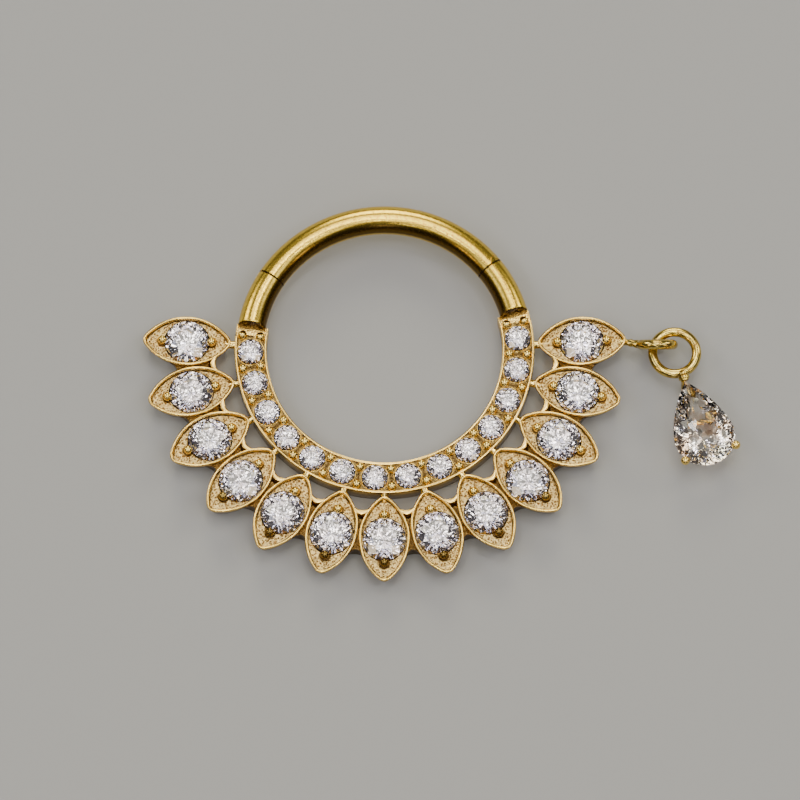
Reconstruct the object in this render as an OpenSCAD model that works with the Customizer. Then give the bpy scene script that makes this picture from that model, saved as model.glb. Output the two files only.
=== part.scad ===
// Hinged hoop for a piercing, with a pave band, a fan of stone-set cells and a pear drop on a jump ring.
// It lies on its back: the ring is level, its front is up (+Z) and its hinged side points to +Y.
// Lengths are millimetres and angles are degrees, counted anticlockwise from +X round the hoop's centre.

/* [Hoop] */
// Inner radius of the band, half of the hoop's 10 mm size
hoop_in_r = 5.0; // [4.9:0.02:5.05]
// Diameter of the round wire
wire_d = 1.2; // [1.15:0.01:1.25]
// Radius of the wire's centre line
wire_path_r = 5.69; // [5.66:0.01:5.72]
// Height of the wire's centre line above the back
wire_z = 1.2; // [1.15:0.01:1.25]
// Angle of the seam at the hinge
hinge_angle = 38; // [36:0.5:42]
// Angle of the seam at the catch
catch_angle = 147.5; // [143:0.5:149]
// Width of the two seams
seam_gap = 0.04; // [0.03:0.01:0.06]
// How far the stub's end face leans back from upright
stub_lean = 7; // [5:1:12]

/* [Band] */
// Outer radius of the band
band_out_r = 6.35; // [6.33:0.01:6.38]
// Height of the band's rails above the back
band_h = 0.95; // [0.93:0.01:0.98]
// Angle at which the wire ends over the band's right end
band_start = 15; // [14.5:0.1:15.5]
// Angle at which the wire ends over the band's left end
band_end = 171; // [170.5:0.1:171.5]
// Width of each polished rail
rail_w = 0.1; // [0.08:0.01:0.11]
// Depth of the channel between the rails
channel_depth = 0.06; // [0.04:0.01:0.08]

/* [Pave row] */
// Number of small stones along the band
pave_count = 14; // [14]
// Diameter of a small stone
pave_d = 1.08; // [1:0.02:1.1]
// Angle from one small stone to the next
pave_pitch = 14.168; // [14:0.01:14.2]
// Angle of the middle of the row
pave_middle = 273; // [272.8:0.1:273.2]
// Diameter of the metal beads that hold the small stones
bead_d = 0.34; // [0.28:0.02:0.36]
// Distance of each bead from the middle of the band
bead_offset = 0.38; // [0.36:0.01:0.39]

/* [Fan] */
// Number of cells in the fan
cell_count = 13; // [13]
// Radius on which the fan's stones are centred
cell_path_r = 8.38; // [8.37:0.01:8.4]
// Angle from one cell to the next
cell_pitch = 15.4; // [15.4:0.05:15.5]
// Angle of the middle cell
fan_middle = 270; // [269.5:0.1:270.5]
// Length of a cell from tip to tip
cell_len = 3.72; // [3.7:0.01:3.74]
// Width of a cell at its waist
cell_w = 2.16; // [2.15:0.01:2.17]
// Radius of a cell's tips
cell_tip_r = 0.38; // [0.34:0.02:0.42]
// How much narrower a cell is at its back, on each side
cell_taper = 0.25; // [0.2:0.01:0.28]
// Width of a cell's rim
rim_w = 0.1; // [0.09:0.01:0.11]
// Height of the rims above the back
rim_h = 1.1; // [1.08:0.01:1.14]
// Depth of the recess inside a rim
recess_depth = 0.22; // [0.18:0.01:0.24]
// Height of the web between two cells
web_h = 0.75; // [0.7:0.01:0.8]
// Diameter of the post between a cell and the band
post_d = 0.36; // [0.3:0.02:0.4]

/* [Fan stones] */
// Diameter of a fan stone
fan_stone_d = 1.84; // [1.82:0.01:1.85]
// Distance of each prong from its stone's centre
prong_offset = 1.04; // [1.03:0.01:1.05]
// Diameter of a prong's ball
prong_ball_d = 0.38; // [0.34:0.02:0.4]

/* [Drop] */
// Distance of the eyelet's centre from the last cell's tip
eyelet_reach = 1.32; // [1.31:0.01:1.33]
// Diameter of the circle that the eyelet's wire follows
eyelet_path_d = 1.37; // [1.36:0.01:1.38]
// Thickness of the eyelet's wire
eyelet_wire_d = 0.42; // [0.4:0.01:0.42]
// How far the eyelet leans from upright towards the fan's side
eyelet_lean = 17; // [15:1:18]
// Diameter of the circle that the jump ring's wire follows
jump_path_d = 1.86; // [1.85:0.01:1.87]
// Thickness of the jump ring's wire
jump_wire_d = 0.4; // [0.38:0.01:0.4]
// Angle between the drop's axis and the -Y direction
drop_angle = 17.9; // [17:0.1:19]
// Length of the pear stone from its tip to its round end
pear_len = 3.86; // [3.8:0.01:3.9]
// Width of the pear stone
pear_w = 2.6; // [2.55:0.01:2.65]
// Half of the angle at the pear stone's tip
pear_tip_angle = 43; // [42:0.5:44]
// Distance from the jump ring to the pear stone's tip
neck_len = 0.26; // [0.24:0.01:0.3]
// Angle of the two side prongs from the drop's axis, seen from the round end
drop_prong_angle = 54; // [52:1:58]

/* [Hidden] */
$fn = 96;
FAN_NODES = [for (i = [1 : cell_count]) str("fan_stone_", i)];
PAVE_NODES = [for (i = [1 : pave_count]) str("pave_stone_", i)];

// Colours
GOLD = [0.86, 0.66, 0.30];
CLEAR = [0.86, 0.88, 0.94];

// Small distances
fit_gap = 0.015; // between a stone and its seat
bury = 0.05; // how far one soldered piece reaches into the next
beyond = 1; // how far a cutting shape runs past what it cuts

// Hoop
wire_r = wire_d / 2;
band_mid_r = (hoop_in_r + band_out_r) / 2;
band_edge = 0.05; // bevel along the band's two front edges
channel_z = band_h - channel_depth;
solder_arc = 1.5; // the band runs on under the wire for this angle, and the wire into the band for twice that
band_arc = 360 + band_start - band_end + 2 * solder_arc;

// Hinge: a pin near the outside of the wire, through the two cheeks of a fork and a tongue between them
pin_r = 0.12;
pin_out = 0.36; // from the wire's centre line outwards
pin_path_r = wire_path_r + pin_out;
pin_recess = 0.02; // the pin's ends lie this far below the wire's surface
fork_bore_r = pin_r + 0.01;
tongue_bore_r = pin_r + 0.03;
tongue_half_h = 0.2;
slot_half_h = tongue_half_h + 0.02;
knuckle_r = wire_r - pin_out + 0.01; // of the fork's nose, just more than up to the wire's outer side
tongue_r = knuckle_r - 0.02;
knuckle_cut_r = knuckle_r + 0.03;
shoulder_start = knuckle_r + 0.02; // outside the pin, the segment's shoulder starts here to clear the stub
hinge_reach = 0.6; // length of wire that the hinge takes up

// Catch: a tab on the segment in a slot that is open towards the outside
tab_half_h = 0.15;
tab_len = 0.4;
tab_inner = -0.1; // inner face of the tab, from the wire's centre line outwards
catch_gap = 0.03;

// Shares of a brilliant cut, of its diameter
crown_share = 0.16;
girdle_share = 0.022;
pavilion_share = 0.43;
table_share = 0.56;
star_share = 0.8;
lower_share = 0.24;
culet_share = 0.03;
cut_fold = 8; // a brilliant has this many main facets
cut_step = 180 / cut_fold;
pear_fold = 12;

// Fan
cell_a = cell_len / 2;
cell_b = cell_w / 2;
tip_path = cell_a - cell_tip_r;
side_r = (cell_b * cell_b + tip_path * tip_path - cell_tip_r * cell_tip_r) / (2 * (cell_b - cell_tip_r));
side_offset = side_r - cell_b;
recess_z = rim_h - recess_depth;
fan_arc = (cell_count - 1) * cell_pitch;
fan_start = fan_middle - fan_arc / 2;
web_in_r = 6.93;
web_out_r = 9.1;
web_scoop_r = 0.26;
saddle_w = 0.22;
saddle_h = rim_h - 0.02;
post_z = 0.74;
post_gap = cell_path_r - cell_a - band_out_r;
post_bury = 0.15; // how far a post reaches into the cell, past its leaning side
back_hole_share = 0.42;
fan_tip_r = cell_path_r + cell_a;

// Drop
eyelet_angle = fan_start + fan_arc;
eyelet_z = 0.95;
eyelet_path_r = eyelet_path_d / 2;
eyelet_wire_r = eyelet_wire_d / 2;
last_tip = fan_tip_r * [cos(eyelet_angle), sin(eyelet_angle)];
eyelet_x = last_tip[0] + eyelet_reach;
eyelet_y = 0.22;
jump_path_r = jump_path_d / 2;
jump_wire_r = jump_wire_d / 2;
jump_x = 12.3;
jump_y = -0.15;
jump_z = 0.95;
pear_r = pear_w / 2;
pear_tip_x = pear_len - pear_r;
pear_side_r = (pear_tip_x * pear_tip_x - pear_r * pear_r) / (2 * (pear_tip_x * sin(pear_tip_angle) - pear_r));
pear_side_centre = [pear_side_r * sin(pear_tip_angle) - pear_tip_x, -pear_side_r * cos(pear_tip_angle)];
pear_z = 1.17; // lower edge of the pear stone's girdle
drop_centre_s = jump_path_r + jump_wire_r + neck_len + pear_tip_x;
drop_prong_r = 0.19;
drop_prong_stem_r = 0.16;
drop_prong_out = 0.09; // from the girdle to the prong's axis
rail_path_r = 0.72;
rail_wire_r = 0.14;
rail_z = 0.2;
spine_drop = 0.19; // from the stone's keel down to the axis of the spine under it
keel_slope = pear_w * pavilion_share / pear_tip_x;

// Where the origin lies: the middle of the whole object's footprint, on its back
tip_reach = cell_path_r + tip_path;
box_min_x = tip_reach * cos(fan_start) - cell_tip_r;
box_min_y = tip_reach * sin(fan_middle) - cell_tip_r;
box_max_y = wire_path_r + wire_r;
drop_dir = drop_angle - 90;
drop_centre = [jump_x + drop_centre_s * cos(drop_dir), jump_y + drop_centre_s * sin(drop_dir)];
far_prong_dir = drop_dir + drop_prong_angle;
box_max_x = drop_centre[0] + (pear_r + drop_prong_out) * cos(far_prong_dir) + drop_prong_r;
origin_x = (box_min_x + box_max_x) / 2;
origin_y = (box_min_y + box_max_y) / 2;

// Heights and radii of a brilliant of diameter d whose girdle stands on z = 0
function table_z(d) = d * (girdle_share + crown_share);
function crown_slope(d) = d * crown_share / (d / 2 * (1 - table_share));
function star_z(d) = table_z(d) - d / 2 * (star_share * cos(cut_step) - table_share) * crown_slope(d);
function culet_z(d) = -d * pavilion_share;
function lower_z(d) = culet_z(d) * (1 - lower_share * cos(cut_step));

// One ring of points: share of the outline, height, number of points and first angle
function ring(outline, share, z, count, first) = [
    for (i = [0 : count - 1])
        let (a = first + i * 360 / count)
            [share * outline(a) * cos(a), share * outline(a) * sin(a), z]
];

// Points of a brilliant on any outline, from the table down to the culet
function brilliant_points(outline, d, fold) = concat(
    ring(outline, table_share, table_z(d), fold, 0),
    ring(outline, star_share, star_z(d), fold, 180 / fold),
    ring(outline, 1, d * girdle_share, 2 * fold, 0),
    ring(outline, 1, 0, 2 * fold, 0),
    ring(outline, lower_share, lower_z(d), fold, 180 / fold),
    ring(outline, culet_share, culet_z(d), fold, 0)
);

// Facets of a brilliant with the given number of main facets, each wound clockwise seen from outside
function brilliant_faces(fold) =
    let (
        star = fold,
        top = 2 * fold,
        low = 4 * fold,
        lower = 6 * fold,
        culet = 7 * fold
    ) concat(
        [[for (i = [fold - 1 : -1 : 0]) i]],
        [[for (i = [0 : fold - 1]) culet + i]],
        [for (i = [0 : fold - 1])
            let (
                j = (i + 1) % fold,
                h = (i + fold - 1) % fold,
                g = 2 * i,
                g_next = 2 * i + 1,
                g_after = (2 * i + 2) % (2 * fold)
            ) each [
                [i, j, star + i],
                [i, star + i, top + g],
                [i, top + g, star + h],
                [star + i, top + g_next, top + g],
                [star + i, top + g_after, top + g_next],
                [top + g, top + g_next, low + g_next],
                [top + g, low + g_next, low + g],
                [top + g_next, top + g_after, low + g_after],
                [top + g_next, low + g_after, low + g_next],
                [low + g, low + g_next, lower + i],
                [low + g_next, low + g_after, lower + i],
                [low + g, lower + i, culet + i],
                [low + g, culet + i, lower + h],
                [lower + i, culet + j, culet + i]
            ]
        ]
    );

// Outline of the pear stone as a distance from the centre of its round end, at an angle from the drop's axis
function pear_reach(a) =
    let (
        fold_a = abs(a > 180 ? a - 360 : a),
        dir = [cos(fold_a), sin(fold_a)],
        along = dir * pear_side_centre,
        side_start = atan2(-pear_side_centre[1], -pear_side_centre[0])
    )
        fold_a <= side_start
            ? pear_r
            : along + sqrt(along * along + pear_side_r * pear_side_r - pear_side_centre * pear_side_centre);

// Moves the hoop's own frame, centred on the ring, to the part's frame
module in_part_frame() {
    translate([-origin_x, -origin_y, 0]) children();
}

// Places children at an angle and a radius of the hoop, with +X pointing outwards
module on_hoop(angle, radius, z = 0) {
    rotate([0, 0, angle]) translate([radius, 0, z]) children();
}

// Angle of the hoop that a length of its wire takes up
function wire_angle(length) = length / wire_path_r * 180 / PI;

// Arc of the hoop's round wire
module wire_arc(r, from, to) {
    rotate([0, 0, from]) rotate_extrude(angle = to - from) translate([wire_path_r, wire_z]) circle(r = r);
}

// Flat arc between two radii and two heights
module flat_arc(r_in, r_out, z0, z1, from, to) {
    rotate([0, 0, from])
        rotate_extrude(angle = to - from)
            translate([r_in, z0]) square([r_out - r_in, z1 - z0]);
}

// Brilliant with its girdle standing on z = 0
module brilliant(d) {
    polyhedron(
        points = brilliant_points(function (a) d / 2, d, cut_fold),
        faces = brilliant_faces(cut_fold)
    );
}

// Space that a brilliant needs, with an open back
module brilliant_pocket(d) {
    r = d / 2;
    rotate_extrude()
        polygon([
            [0, culet_z(d) - fit_gap],
            [lower_share * r + fit_gap, lower_z(d) - 2 * fit_gap],
            [r + fit_gap, -2 * fit_gap],
            [r + fit_gap, d * girdle_share + fit_gap],
            [star_share * r + fit_gap, star_z(d) + fit_gap],
            [table_share * r + fit_gap, table_z(d) + fit_gap],
            [table_share * r + fit_gap, table_z(d) + beyond],
            [0, table_z(d) + beyond]
        ]);
    translate([0, 0, culet_z(d) - beyond]) cylinder(r = back_hole_share * r, h = beyond + d * pavilion_share / 2);
}

// Outline of a cell, narrowed all round by inset
module cell_outline(inset) {
    r_side = side_r - inset;
    r_tip = cell_tip_r - inset;
    touch_x = r_side * tip_path / (side_r - cell_tip_r);
    intersection() {
        translate([0, -side_offset]) circle(r = r_side);
        translate([0, side_offset]) circle(r = r_side);
        square([2 * touch_x, 2 * cell_w], center = true);
    }
    for (side = [-1, 1]) translate([side * tip_path, 0]) circle(r = r_tip);
}

// Cell as a solid block, narrower at its back
module cell_block() {
    touch_share = tip_path / (side_r - cell_tip_r);
    touch_front = side_r * touch_share;
    touch_back = (side_r - cell_taper) * touch_share;
    intersection() {
        translate([0, -side_offset, 0]) cylinder(r1 = side_r - cell_taper, r2 = side_r, h = rim_h);
        translate([0, side_offset, 0]) cylinder(r1 = side_r - cell_taper, r2 = side_r, h = rim_h);
        translate([0, cell_w, 0]) rotate([90, 0, 0]) linear_extrude(2 * cell_w)
            polygon([[-touch_back, 0], [touch_back, 0], [touch_front, rim_h], [-touch_front, rim_h]]);
    }
    for (side = [-1, 1])
        translate([side * tip_path, 0, 0]) cylinder(r1 = cell_tip_r - cell_taper, r2 = cell_tip_r, h = rim_h);
}

// Runs children once at each cell, at its stone's centre, +X outwards
module at_cells() {
    for (i = [0 : cell_count - 1]) on_hoop(fan_start + i * cell_pitch, cell_path_r) children();
}

// Runs children once between each two cells, at a radius of the hoop
module between_cells(radius) {
    for (i = [0 : cell_count - 2]) on_hoop(fan_start + (i + 0.5) * cell_pitch, radius) children();
}

// Angle of a small stone, counted from 0; half a pitch less is the place before it
function pave_angle(i) = pave_middle + (i - (pave_count - 1) / 2) * pave_pitch;

// Pave band with a rail along both edges
module band() {
    rotate([0, 0, band_end - solder_arc])
        rotate_extrude(angle = band_arc)
            polygon([
                [hoop_in_r, 0],
                [band_out_r, 0],
                [band_out_r, band_h - band_edge],
                [band_out_r - band_edge, band_h],
                [band_out_r - rail_w, band_h],
                [band_out_r - rail_w, channel_z],
                [hoop_in_r + rail_w, channel_z],
                [hoop_in_r + rail_w, band_h],
                [hoop_in_r + band_edge, band_h],
                [hoop_in_r, band_h - band_edge]
            ]);
}

// Metal beads in pairs between the small stones
module beads() {
    for (i = [0 : pave_count], side = [-1, 1])
        on_hoop(pave_angle(i - 0.5), band_mid_r + side * bead_offset, channel_z)
            sphere(d = bead_d);
}

// Solid parts of the fan before the recesses are cut
module fan_blank() {
    at_cells() cell_block();
    difference() {
        flat_arc(web_in_r, web_out_r, 0, web_h, fan_start, fan_start + fan_arc);
        between_cells(web_in_r) translate([0, 0, -beyond]) cylinder(r = web_scoop_r, h = web_h + 2 * beyond);
        between_cells(web_out_r) translate([0, 0, -beyond]) cylinder(r = web_scoop_r, h = web_h + 2 * beyond);
    }
    intersection() {
        flat_arc(web_in_r, web_in_r + 2 * web_scoop_r, 0, saddle_h, fan_start, fan_start + fan_arc);
        between_cells(web_in_r)
            difference() {
                cylinder(r = web_scoop_r + saddle_w, h = rim_h);
                translate([0, 0, -beyond]) cylinder(r = web_scoop_r, h = rim_h + 2 * beyond);
            }
    }
}

// Fan with its recesses, posts and ball prongs
module fan() {
    difference() {
        fan_blank();
        at_cells() translate([0, 0, recess_z]) linear_extrude(beyond) cell_outline(rim_w);
    }
    at_cells() {
        translate([-cell_a - post_gap - bury, 0, post_z])
            rotate([0, 90, 0]) cylinder(d = post_d, h = bury + post_gap + post_bury);
        for (side = [-1, 1]) translate([side * prong_offset, 0, recess_z - bury]) {
            cylinder(d = prong_ball_d - bury, h = prong_ball_d / 2 + bury);
            translate([0, 0, prong_ball_d / 2 + bury]) sphere(d = prong_ball_d);
        }
    }
}

// Fixed stubs of the wire, each ending in a leaning face on the band
module stubs() {
    difference() {
        union() {
            wire_arc(wire_r, band_start - 2 * solder_arc, hinge_angle + wire_angle(hinge_reach / 2));
            wire_arc(wire_r, catch_angle, band_end + 2 * solder_arc);
        }
        stub_face(band_start, -1);
        stub_face(band_end, 1);
        beyond_fork();
    }
}

// Space beyond a stub's leaning end face; side is 1 where the band lies anticlockwise of it
module stub_face(angle, side) {
    on_hoop(angle, wire_path_r, channel_z)
        rotate([side * stub_lean, 0, 0])
            translate([-wire_d, side > 0 ? 0 : -wire_d, -bury]) cube([2 * wire_d, wire_d, 2 * wire_d]);
}

// Moves children to the hinge pin's axis, at the height of the wire
module at_pin() {
    on_hoop(hinge_angle, pin_path_r, wire_z) children();
}

// Stretch of the wire on both sides of the hinge
module hinge_wire(r = wire_r) {
    wire_arc(r, hinge_angle - wire_angle(hinge_reach), hinge_angle + wire_angle(hinge_reach));
}

// Space past the hinge's seam, all but the fork's round nose
module beyond_fork() {
    at_pin() translate([0, 0, -wire_d]) difference() {
        translate([-2 * wire_d, 0, 0]) cube([4 * wire_d, hinge_reach, 2 * wire_d]);
        cylinder(r = knuckle_r, h = 2 * wire_d);
    }
}

// Space that the tongue and the pin need in the fork
module fork_space() {
    at_pin() {
        translate([0, 0, -slot_half_h]) cylinder(r = knuckle_cut_r, h = 2 * slot_half_h);
        translate([0, 0, -wire_d]) cylinder(r = fork_bore_r, h = 2 * wire_d);
    }
}

// Slot for the catch tab, in the stub's end, open towards the outside
module catch_slot() {
    on_hoop(catch_angle, wire_path_r, wire_z)
        translate([tab_inner - catch_gap, -beyond, -tab_half_h - catch_gap])
            cube([wire_d, beyond + tab_len + catch_gap, 2 * (tab_half_h + catch_gap)]);
}

// Eyelet on the fan's last cell, with the short post that carries it
module eyelet() {
    translate([eyelet_x, eyelet_y, eyelet_z])
        rotate([90 + eyelet_lean, 0, 0])
            rotate_extrude() translate([eyelet_path_r, 0]) circle(r = eyelet_wire_r);
    bar(
        [last_tip[0] - post_bury, last_tip[1], post_z],
        [eyelet_x - eyelet_path_r, eyelet_y, eyelet_z],
        post_d / 2
    );
}

// Soldered body: band, stubs, fan, beads and eyelet, with seats for the stones
module hoop_body() {
    color(GOLD) in_part_frame() difference() {
        union() {
            band();
            stubs();
            beads();
            fan();
            eyelet();
        }
        fork_space();
        catch_slot();
        at_cells() translate([0, 0, recess_z + fit_gap]) brilliant_pocket(fan_stone_d);
        for (i = [0 : pave_count - 1])
            on_hoop(pave_angle(i), band_mid_r, channel_z + fit_gap) brilliant_pocket(pave_d);
    }
}

// Hinged arc of wire over the top, with its tongue and its catch tab
module hinged_segment() {
    color(GOLD) in_part_frame() difference() {
        union() {
            difference() {
                wire_arc(wire_r, hinge_angle + wire_angle(seam_gap), catch_angle - wire_angle(seam_gap));
                at_pin() translate([0, 0, -wire_d]) {
                    cylinder(r = knuckle_cut_r, h = 2 * wire_d);
                    cube([wire_d, shoulder_start, 2 * wire_d]);
                }
            }
            intersection() {
                hinge_wire();
                at_pin() translate([0, 0, -tongue_half_h]) {
                    cylinder(r = tongue_r, h = 2 * tongue_half_h);
                    translate([-knuckle_cut_r - bury, seam_gap, 0])
                        cube([knuckle_cut_r + bury, hinge_reach, 2 * tongue_half_h]);
                }
            }
            intersection() {
                wire_arc(wire_r, catch_angle - wire_angle(2 * tab_len), catch_angle + wire_angle(tab_len));
                on_hoop(catch_angle, wire_path_r, wire_z)
                    translate([tab_inner, -tab_len, -tab_half_h])
                        cube([wire_d, 2 * tab_len, 2 * tab_half_h]);
            }
        }
        at_pin() translate([0, 0, -wire_d]) cylinder(r = tongue_bore_r, h = 2 * wire_d);
    }
}

// Hinge pin, its ends dressed flush with the wire
module hinge_pin() {
    color(GOLD) in_part_frame() intersection() {
        at_pin() translate([0, 0, -wire_r]) cylinder(r = pin_r, h = wire_d);
        hinge_wire(wire_r - pin_recess);
    }
}

// Stone of the fan, counted from 1 at the fan's left end
module fan_stone(i) {
    color(CLEAR) in_part_frame()
        on_hoop(fan_start + (i - 1) * cell_pitch, cell_path_r, recess_z + fit_gap) brilliant(fan_stone_d);
}

// Stone of the band, counted from 1 at the band's left end
module pave_stone(i) {
    color(CLEAR) in_part_frame()
        on_hoop(pave_angle(i - 1), band_mid_r, channel_z + fit_gap) brilliant(pave_d);
}

// Places children at the centre of the pear's round end, with +X along the drop away from the hoop
module in_drop() {
    translate([drop_centre[0], drop_centre[1], 0]) rotate([0, 0, drop_dir]) children();
}

// Round bar between two points
module bar(p, q, r) {
    v = q - p;
    translate(p) rotate([0, acos(v[2] / norm(v)), atan2(v[1], v[0])]) cylinder(r = r, h = norm(v));
}

// Prong of the drop at an angle and a distance from the round end's centre
module drop_prong(angle, reach) {
    top = [reach * cos(angle), reach * sin(angle), pear_z + pear_w * girdle_share + drop_prong_r / 2];
    foot = [rail_path_r * cos(angle), rail_path_r * sin(angle), drop_prong_r];
    bar(foot, top, drop_prong_stem_r);
    translate(top) sphere(r = drop_prong_r);
    translate(foot) sphere(r = drop_prong_r);
}

// Space that the pear stone needs, as cones round its round end
module pear_pocket() {
    translate([0, 0, pear_z])
        rotate_extrude()
            polygon([
                [0, culet_z(pear_w) - fit_gap],
                [lower_share * pear_r + fit_gap, lower_z(pear_w) - fit_gap],
                [pear_r + fit_gap, -fit_gap],
                [pear_r + fit_gap, pear_w * girdle_share + fit_gap],
                [star_share * pear_r + fit_gap, star_z(pear_w) + fit_gap],
                [table_share * pear_r + fit_gap, table_z(pear_w) + fit_gap],
                [0, table_z(pear_w) + fit_gap]
            ]);
}

// Jump ring, neck and three-pronged basket of the drop, soldered together
module drop_setting() {
    tip_claw = [-pear_tip_x - drop_prong_r - fit_gap, 0, pear_z];
    spine_z = pear_z + culet_z(pear_w) - spine_drop;
    color(GOLD) in_part_frame() {
        translate([jump_x, jump_y, jump_z])
            rotate_extrude() translate([jump_path_r, 0]) circle(r = jump_wire_r);
        in_drop() {
            difference() {
                union() {
                    translate([0, 0, rail_z]) rotate_extrude() translate([rail_path_r, 0]) circle(r = rail_wire_r);
                    for (side = [-1, 1]) drop_prong(side * drop_prong_angle, pear_r + drop_prong_out);
                }
                pear_pocket();
            }
            bar(
                [-rail_path_r, 0, spine_z + keel_slope * rail_path_r],
                [tip_claw[0], 0, spine_z - keel_slope * tip_claw[0]],
                rail_wire_r
            );
            bar([-pear_tip_x - neck_len - jump_wire_r, 0, jump_z], tip_claw, drop_prong_r);
            translate(tip_claw) sphere(r = drop_prong_r);
        }
    }
}

// Pear brilliant of the drop
module drop_stone() {
    color(CLEAR) in_part_frame() in_drop() translate([0, 0, pear_z])
        polyhedron(
            points = brilliant_points(function (a) pear_reach(a), pear_w, pear_fold),
            faces = brilliant_faces(pear_fold)
        );
}

hoop_body();
hinged_segment();
hinge_pin();
for (i = [1 : cell_count]) fan_stone(i);
for (i = [1 : pave_count]) pave_stone(i);
drop_setting();
drop_stone();
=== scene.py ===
"""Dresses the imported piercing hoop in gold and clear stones, and sets up the studio round it."""

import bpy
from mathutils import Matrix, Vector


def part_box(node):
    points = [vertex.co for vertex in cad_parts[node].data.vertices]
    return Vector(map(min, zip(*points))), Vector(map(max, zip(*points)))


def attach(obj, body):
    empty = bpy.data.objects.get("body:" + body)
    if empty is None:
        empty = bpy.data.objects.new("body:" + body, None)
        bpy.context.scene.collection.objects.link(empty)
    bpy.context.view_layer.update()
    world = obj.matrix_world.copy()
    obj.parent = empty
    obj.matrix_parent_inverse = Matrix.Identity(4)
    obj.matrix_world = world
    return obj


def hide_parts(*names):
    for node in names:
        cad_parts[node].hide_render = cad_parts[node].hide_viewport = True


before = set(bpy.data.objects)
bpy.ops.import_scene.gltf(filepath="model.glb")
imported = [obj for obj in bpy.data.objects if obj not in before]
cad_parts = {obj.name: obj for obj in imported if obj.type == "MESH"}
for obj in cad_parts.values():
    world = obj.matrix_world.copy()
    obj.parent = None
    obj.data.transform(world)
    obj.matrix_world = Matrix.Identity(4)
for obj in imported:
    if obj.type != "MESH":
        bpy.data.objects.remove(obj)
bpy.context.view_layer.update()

import logging
import math
from collections.abc import Iterable
from dataclasses import dataclass, field
from enum import Enum
from functools import cache

import bmesh
import bpy
import numpy as np
from mathutils import Vector

Colour = tuple[float, float, float, float]
Light = tuple[float, float, float]
Pairs = list[tuple[float, float]]
Table = tuple[tuple[float, float], ...]
Material = bpy.types.Material
Mesh = bpy.types.Mesh
Node = bpy.types.Node
Socket = bpy.types.NodeSocket

LOG = logging.getLogger("piercing_hoop")
MM = 0.001
WELD = 2e-7
SHARP_ANGLE = 38.0
FULL_TURN = 2 * math.pi
# Just short of a right angle, where the last loop of a ball is too small to see
QUARTER = 1.57
# Share of a soft edge's width at which its middle line lies
SOFT_MID = 0.3
ROOT = "root"
HOOP_NODE = "hoop_body"
DROP_NODE = "drop_setting"
GRAIN = "grain"
PAINTED_SHADE = "soil"


class Cap(Enum):
    """How the two ends of a loft are closed."""

    FLAT = "flat"
    OPEN = "open"
    RING = "ring"


class Surface(Enum):
    """Kinds of metal surface. Each value is how sandy it is, and how much brown painted shade lies on it:
    darkened corners, webs, channels, walls, backs, seats and cut ends stand in for shade and dark
    reflections.
    """

    POLISH = (0.0, 0.0)
    SATIN = (0.15, 0.05)
    SAND = (1.0, 0.0)
    CORNER = (0.6, 0.95)
    SEAT = (0.0, 0.5)
    WEB = (0.5, 0.9)
    CHANNEL = (0.4, 0.75)
    WALL = (0.15, 0.75)
    BACK = (0.5, 0.25)
    CUT_END = (0.0, 0.95)


@dataclass(frozen=True)
class HoopCentre:
    """The ring's centre in the part's frame, in millimetres."""

    x: float
    y: float

    @classmethod
    def from_stone(cls, node: str, path_r: float) -> "HoopCentre":
        """Finds the centre from the fan's middle stone, which lies straight below it.

        Args:
            node: Name of the middle stone's CAD node.
            path_r: Radius on which the fan's stones are centred.

        Returns:
            The centre of the hoop.
        """
        low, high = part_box(node)
        middle = (low + high) / (2 * MM)
        return cls(middle.x, middle.y + path_r)

    def place(self, points: np.ndarray) -> np.ndarray:
        """Moves points in millimetres round the hoop's centre to the part's frame, in metres."""
        return (points + np.array([self.x, self.y, 0.0])) * MM

    @property
    def metres(self) -> tuple[float, float, float]:
        """The centre as a point on the floor, in metres."""
        return (self.x * MM, self.y * MM, 0.0)


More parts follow.
